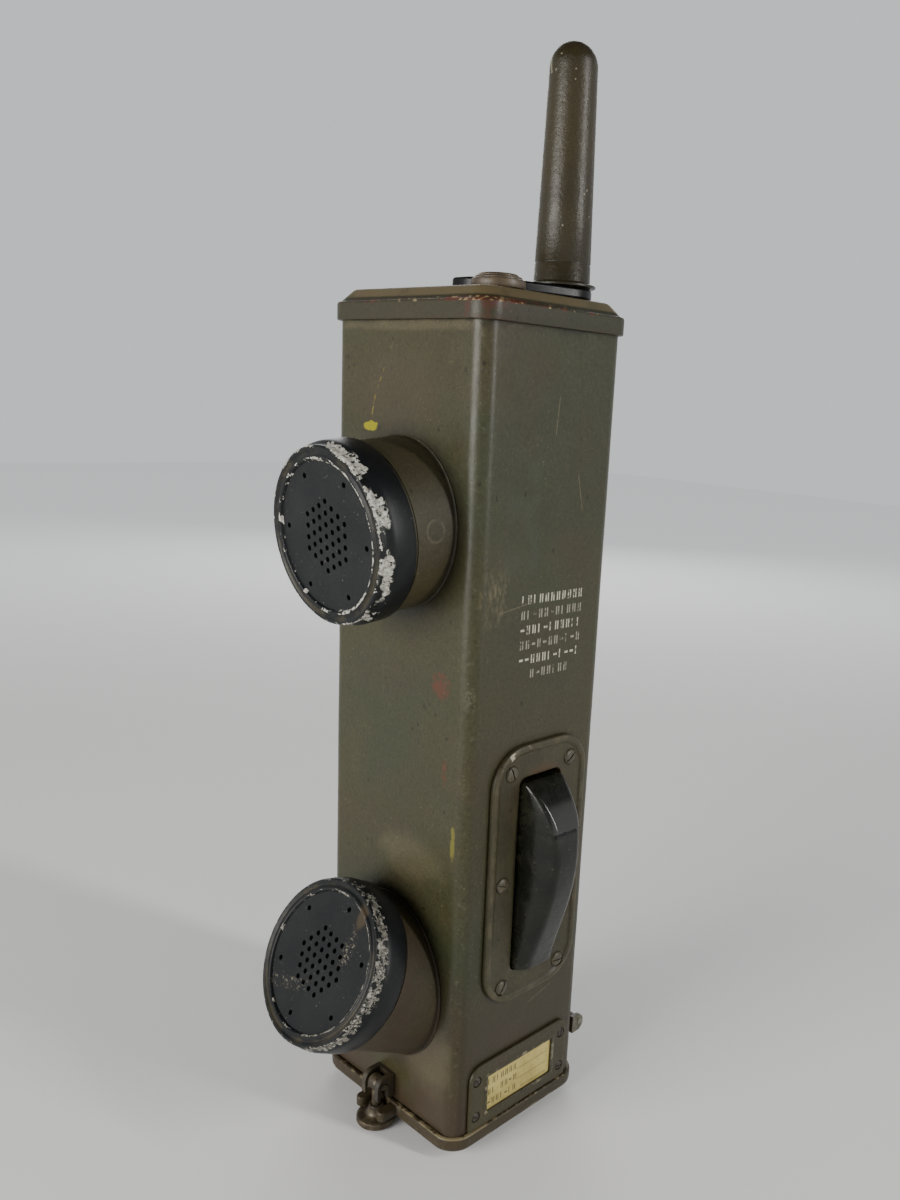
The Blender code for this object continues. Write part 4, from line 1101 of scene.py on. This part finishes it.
def neck_marks(f):
    """Painted shade at the foot, a faint stamped ring on the ear neck and the mouth neck painted darker and
    browner as shade.
    """
    # painted shade at the foot, next to the case
    f.coat(GRIME_AND_SHADE, f.ramp(f.y, -FACE - 3.4 * MM, -FACE - 0.8 * MM), f.clouds(7, 0.25, 0.55), 0.7)
    distance = f.length(f.minus(f.y, -43.4 * MM), f.minus(f.z, 240.0 * MM))
    ring = f.times(f.band(distance, 3.6, 0.25, 0.4), f.rise(f.x, 20, 24))
    f.coat(srgb(128, 122, 98), ring, f.clouds(3, 0.35, 0.55, 3), 0.16)
    # painted shade: the mouth neck darker and browner
    f.coat(srgb(54, 40, 24), f.rise(f.z, 116, 70), f.clouds(16, 0.35, 0.6, offset=0.8), 0.7)


def cap_paint(side, place):
    """Blue-black enamel, dusty in its groove, chipped to grey metal on the shoulder and both rims; the pale
    inner rim toward the right is partly a painted highlight.
    """
    f = Finish(side + "_cap_paint", 0.42, place=place)
    f.colour = f.mix(f.clouds(18, 0.35, 0.7), srgb(15, 17, 19), srgb(24, 26, 26))
    f.coat(srgb(44, 44, 40), f.clouds(1.1, 0.5, 0.72), 0.22)
    across = f.length(f.x, f.y)
    f.coat(srgb(128, 124, 110), f.clouds(9, 0.5, 0.7, offset=0.6), f.specks(1.0, 0.2), 0.6)
    big = side == "ear"
    toward_right = f.plus(f.math("DIVIDE", f.x, 31 * MM), f.times(f.y, 0.3 / (31 * MM)))
    facing = f.times(toward_right, 0.075 if big else 0.09)
    wander = f.times(f.minus(f.noise(3.4 if big else 1.6, 5, 0.65), 0.5), 3.8 * MM)
    ragged = f.plus(across, wander)
    shoulder = f.times(f.band(ragged, 29.95, 0.65 if big else 0.42, 0.10),
                       f.rise(f.z, -4.2, -3.2))
    patches = f.plus(f.noise(9.0 if big else 4.0, 3, 0.5, offset=0.35), facing)
    flecks = f.clouds(1.3 if big else 0.8, 0.36 if big else 0.42, 0.47, 4, 0.6, offset=2.1)
    bare_shoulder = f.times(shoulder, f.ramp(patches, 0.50, 0.53), flecks)
    # bare metal along the inner rim, more toward the right: wear, and a painted highlight on that concave
    # edge
    inner_edge = f.plus(across, f.times(wander, 0.5))
    inner = f.times(f.band(inner_edge, 25.3, 0.6 if big else 0.3, 0.12),
                    f.ramp(f.plus(f.noise(4.0, 4, 0.6, offset=0.4), facing), 0.52, 0.54))
    outline = f.times(f.band(across, 29.4, 0.5, 0.3),
                      f.clouds(2.2, 0.60, 0.63, 5, 0.6, offset=0.9))
    bare = f.most(bare_shoulder, inner, outline)
    f.coat(srgb(74, 68, 50), f.band(across, 27.5, 0.7, 0.5), f.clouds(7, 0.42, 0.66, offset=1.9), 0.45)
    pale, grey = srgb(160, 157, 146), srgb(110, 107, 98)
    if big:
        pale, grey = srgb(198, 196, 186), srgb(150, 147, 136)
    f.coat(f.mix(f.clouds(1.2, 0.4, 0.65, offset=1.4), grey, pale), bare)
    if not big:
        f.coat(srgb(72, 60, 44), f.blob(f.x, f.y, (12.0, 21.0), (2.6, 4.4), 0.5, 4, 0.6), 0.7)
        dust = f.most(f.blob(f.x, f.y, (11.3, 8.5), (2.4, 6.5), 0.5, 3, 0.9),
                      f.stroke(f.x, f.y, (-21.0, -15.5), (-2.0, -10.2), 3.0, 0.2))
        f.coat(srgb(140, 132, 116), dust, f.clouds(0.9, 0.5, 0.66, offset=0.3), 0.6)
    f.set("Roughness", f.mix(bare, (0.40, 0.40, 0.40, 1), (0.52, 0.52, 0.52, 1)))
    return f.skin(0.22, (f.noise(0.8, 3), 0.05, 0.6), (f.minus(1.0, bare), 0.12, 0.8),
                  (f.noise(10, 2), 0.15, 0.4))


def card_print():
    """Yellowed card with ruled lines and rows of tally strokes where the print was."""
    f = Finish("card_print", 0.7)
    f.colour = f.mix(f.clouds(9, 0.35, 0.7), srgb(190, 174, 104), srgb(170, 153, 86))
    f.coat(srgb(118, 102, 56), f.clouds(2, 0.55, 0.7), 0.3)
    ink = srgb(48, 42, 26)
    tally, _ = f.tally(-17.3, 29.6, 7, 3, 2.3, 4.6)
    f.coat(ink, tally, f.clouds(1.0, 0.25, 0.42, 3), 0.95)
    for start, height in ((-1.5, 25.6), (-1.5, 21.0), (1.5, 16.6)):
        line = f.times(f.band(f.z, height, 0.09, 0.08),
                       f.band(f.y, (start + 16) / 2, (16 - start) / 2, 0.2))
        f.coat(ink, line, 0.75)
    return f.skin(0.5, (f.noise(1.5, 3), 0.04, 0.5))


def plain(name, first, second, size, roughness, metallic=0.0, peel=0.03, peel_size=0.8, shine=0.5):
    """A finish of two mottled tones with a fine bumpy skin."""
    f = Finish(name, roughness, metallic)
    f.colour = f.mix(f.clouds(size, 0.36, 0.66), srgb(*first), srgb(*second))
    sheen = f.noise(size * 0.7, 4, offset=0.4)
    f.set("Roughness", f.between(sheen, roughness - 0.08, roughness + 0.10))
    return f.skin(shine, (f.noise(peel_size, 2), peel, 0.6))


def strap_bar_finish():
    """Drab paint worn through to grey metal on the rivet heads and along the rod."""
    f = Finish("bar_paint", 0.45)
    f.colour = f.mix(f.clouds(6, 0.36, 0.66), srgb(50, 46, 31), srgb(66, 60, 42))
    ends = f.times(f.rise(f.math("ABSOLUTE", f.x), 36.9, 37.3), f.clouds(1.8, 0.36, 0.5))
    rubbed = f.times(f.clouds(3, 0.56, 0.64, 5, 0.65, offset=0.6), 0.6)
    bare = f.most(ends, rubbed)
    f.coat(srgb(118, 116, 103), bare)
    f.set("Metallic", f.times(bare, 0.5))
    return f.skin(0.5, (f.noise(0.9, 3), 0.05, 0.6))


def lever_finish():
    """Glossy black rubber with olive dust low on its flanks, and a crack painted black as shade under a torn
    patch painted grey as a highlight.
    """
    f = Finish("lever_rubber", 0.3)
    f.colour = f.mix(f.clouds(14, 0.36, 0.66), srgb(14, 15, 12), srgb(23, 24, 18))
    olive = srgb(52, 50, 36)
    low = f.ramp(f.x, SIDE + 11 * MM, SIDE + 1 * MM)
    f.coat(olive, low, f.clouds(5, 0.46, 0.70, 5, 0.6, offset=0.7), 0.6)
    f.coat(olive, f.clouds(1.8, 0.52, 0.70), 0.15)
    f.coat(srgb(104, 98, 78), f.specks(1.4, 0.08), 0.3)
    tear = LEVER_LOW + Vector((0, 0, PATCH_LOW * (LEVER_HIGH.z - LEVER_LOW.z)))
    waver = f.times(f.minus(f.noise(4, 4, offset=1.3), 0.5), 1.6 * MM)
    height = f.plus(f.z, waver)
    top = f.times(f.ramp(f.x, SIDE + 10.5 * MM, SIDE + 12.5 * MM), f.near(f.y, PTT_Y, 6.2 * MM, 1.2 * MM))
    # the crack under the tear painted near black: painted shade below the step
    crack = f.times(f.near(height, tear.z - 0.4 * MM, 0.6 * MM, 0.3 * MM), top)
    patch = f.times(f.near(height, tear.z + 5 * MM, 4.6 * MM, 1.5 * MM), top)
    # the torn patch painted grey: a painted highlight, besides its lower roughness
    f.coat(srgb(58, 58, 56), patch, 0.8)
    f.coat(srgb(3, 3, 3), crack)
    skin_gloss = f.add("ShaderNodeMapRange", {"Value": f.noise(6, 5, offset=0.4), "From Min": 0.3,
                                              "From Max": 0.7, "To Min": 0.14, "To Max": 0.34}).outputs[0]
    f.set("Roughness", f.minus(skin_gloss, f.times(patch, 0.12)))
    return f.skin(0.33, (f.noise(1.1, 3), 0.06, 0.5), (f.noise(8, 3), 0.5, 0.5))


def aerial_finish():
    """Semi-gloss brown paint with a pebbled skin, a scribed ring and scratches at the top."""
    f = Finish("aerial_brown", 0.3)
    f.colour = f.mix(f.clouds(34, 0.34, 0.66), srgb(38, 33, 17), srgb(49, 42, 22))
    f.coat(GRIME_AND_SHADE, f.clouds(0.7, 0.5, 0.75, 3), 0.35)
    ring = f.near(f.z, TOP_PLANE + 12.5 * MM, 0.12 * MM, 0.12 * MM)
    f.coat(srgb(18, 15, 10), ring, f.clouds(5, 0.3, 0.5, 3, offset=0.5), 0.9)
    # darker towards the foot: painted shade near the strap and the top cover
    f.coat(srgb(34, 29, 18), f.ramp(f.z, TOP_PLANE + 14 * MM, TOP_PLANE + 4 * MM), 0.5)
    around = f.minus(f.x, AERIAL.x)
    pale = srgb(140, 132, 110)
    scratch = f.most(f.stroke(around, f.z, (-9.5, 389), (-7.6, 379), 0.5, 0.4),
                     f.stroke(around, f.z, (-4.0, 396), (-2.6, 390), 0.5, 0.7),
                     f.stroke(around, f.z, (-6.5, 391), (-5.8, 386), 0.4, 0.7))
    f.coat(pale, scratch, f.ramp(f.y, AERIAL.y, AERIAL.y - 2 * MM), 0.7)
    f.coat(pale, f.specks(1.6, 0.03), 0.6)
    f.set("Roughness", f.between(f.noise(4, 4), 0.26, 0.50))
    return f.skin(0.36, (f.noise(1.3, 3), 0.20, 0.7), (f.noise(6, 3), 0.2, 0.5))


make_camera()
make_studio()

rubber = plain("rubber", (26, 26, 26), (36, 36, 34), 12, 0.5)
lever_rubber = lever_finish()
strap_rubber = plain("strap_rubber", (6, 6, 7), (12, 12, 12), 12, 0.28, 0, 0.04, 1.2, shine=0.22)
black_plastic = plain("black_plastic", (20, 21, 22), (28, 29, 29), 10, 0.4)
aerial_brown = aerial_finish()
button_paint = plain("button_paint", (62, 52, 38), (84, 70, 50), 4, 0.42)
latch_paint = plain("latch_paint", (42, 36, 26), (60, 52, 37), 5, 0.42)
screw_paint = plain("screw_paint", (54, 49, 35), (80, 73, 53), 2, 0.42)
dark_screw_paint = plain("dark_screw_paint", (36, 30, 22), (54, 47, 34), 2, 0.45)
worn_metal = plain("worn_metal", (56, 48, 36), (92, 82, 62), 4, 0.4, 0.3)
bar_finish = strap_bar_finish()
steel = plain("steel", (88, 82, 68), (122, 114, 96), 5, 0.40, 0.6)
chassis_metal = plain("chassis_metal", (150, 150, 148), (182, 182, 178), 20, 0.4, 0.8)
brass = plain("brass", (158, 132, 78), (184, 156, 98), 12, 0.34, 0.9)
copper_wire = plain("copper_wire", (150, 88, 52), (184, 116, 74), 6, 0.35, 0.8)
battery_wrap = plain("battery_wrap", (176, 148, 96), (198, 172, 116), 18, 0.75)
valve_glass = plain("valve_glass", (120, 124, 126), (170, 172, 172), 8, 0.14)

make_case()
make_top_cover()
make_bottom_cover()
make_hinge()
make_latch()
for side, cup in CUPS.items():
    make_cup(side, *cup)
make_ptt_plate()
make_ptt_lever()
make_card_frame()
make_aerial()
make_strap()
make_strap_bars()
make_inside()
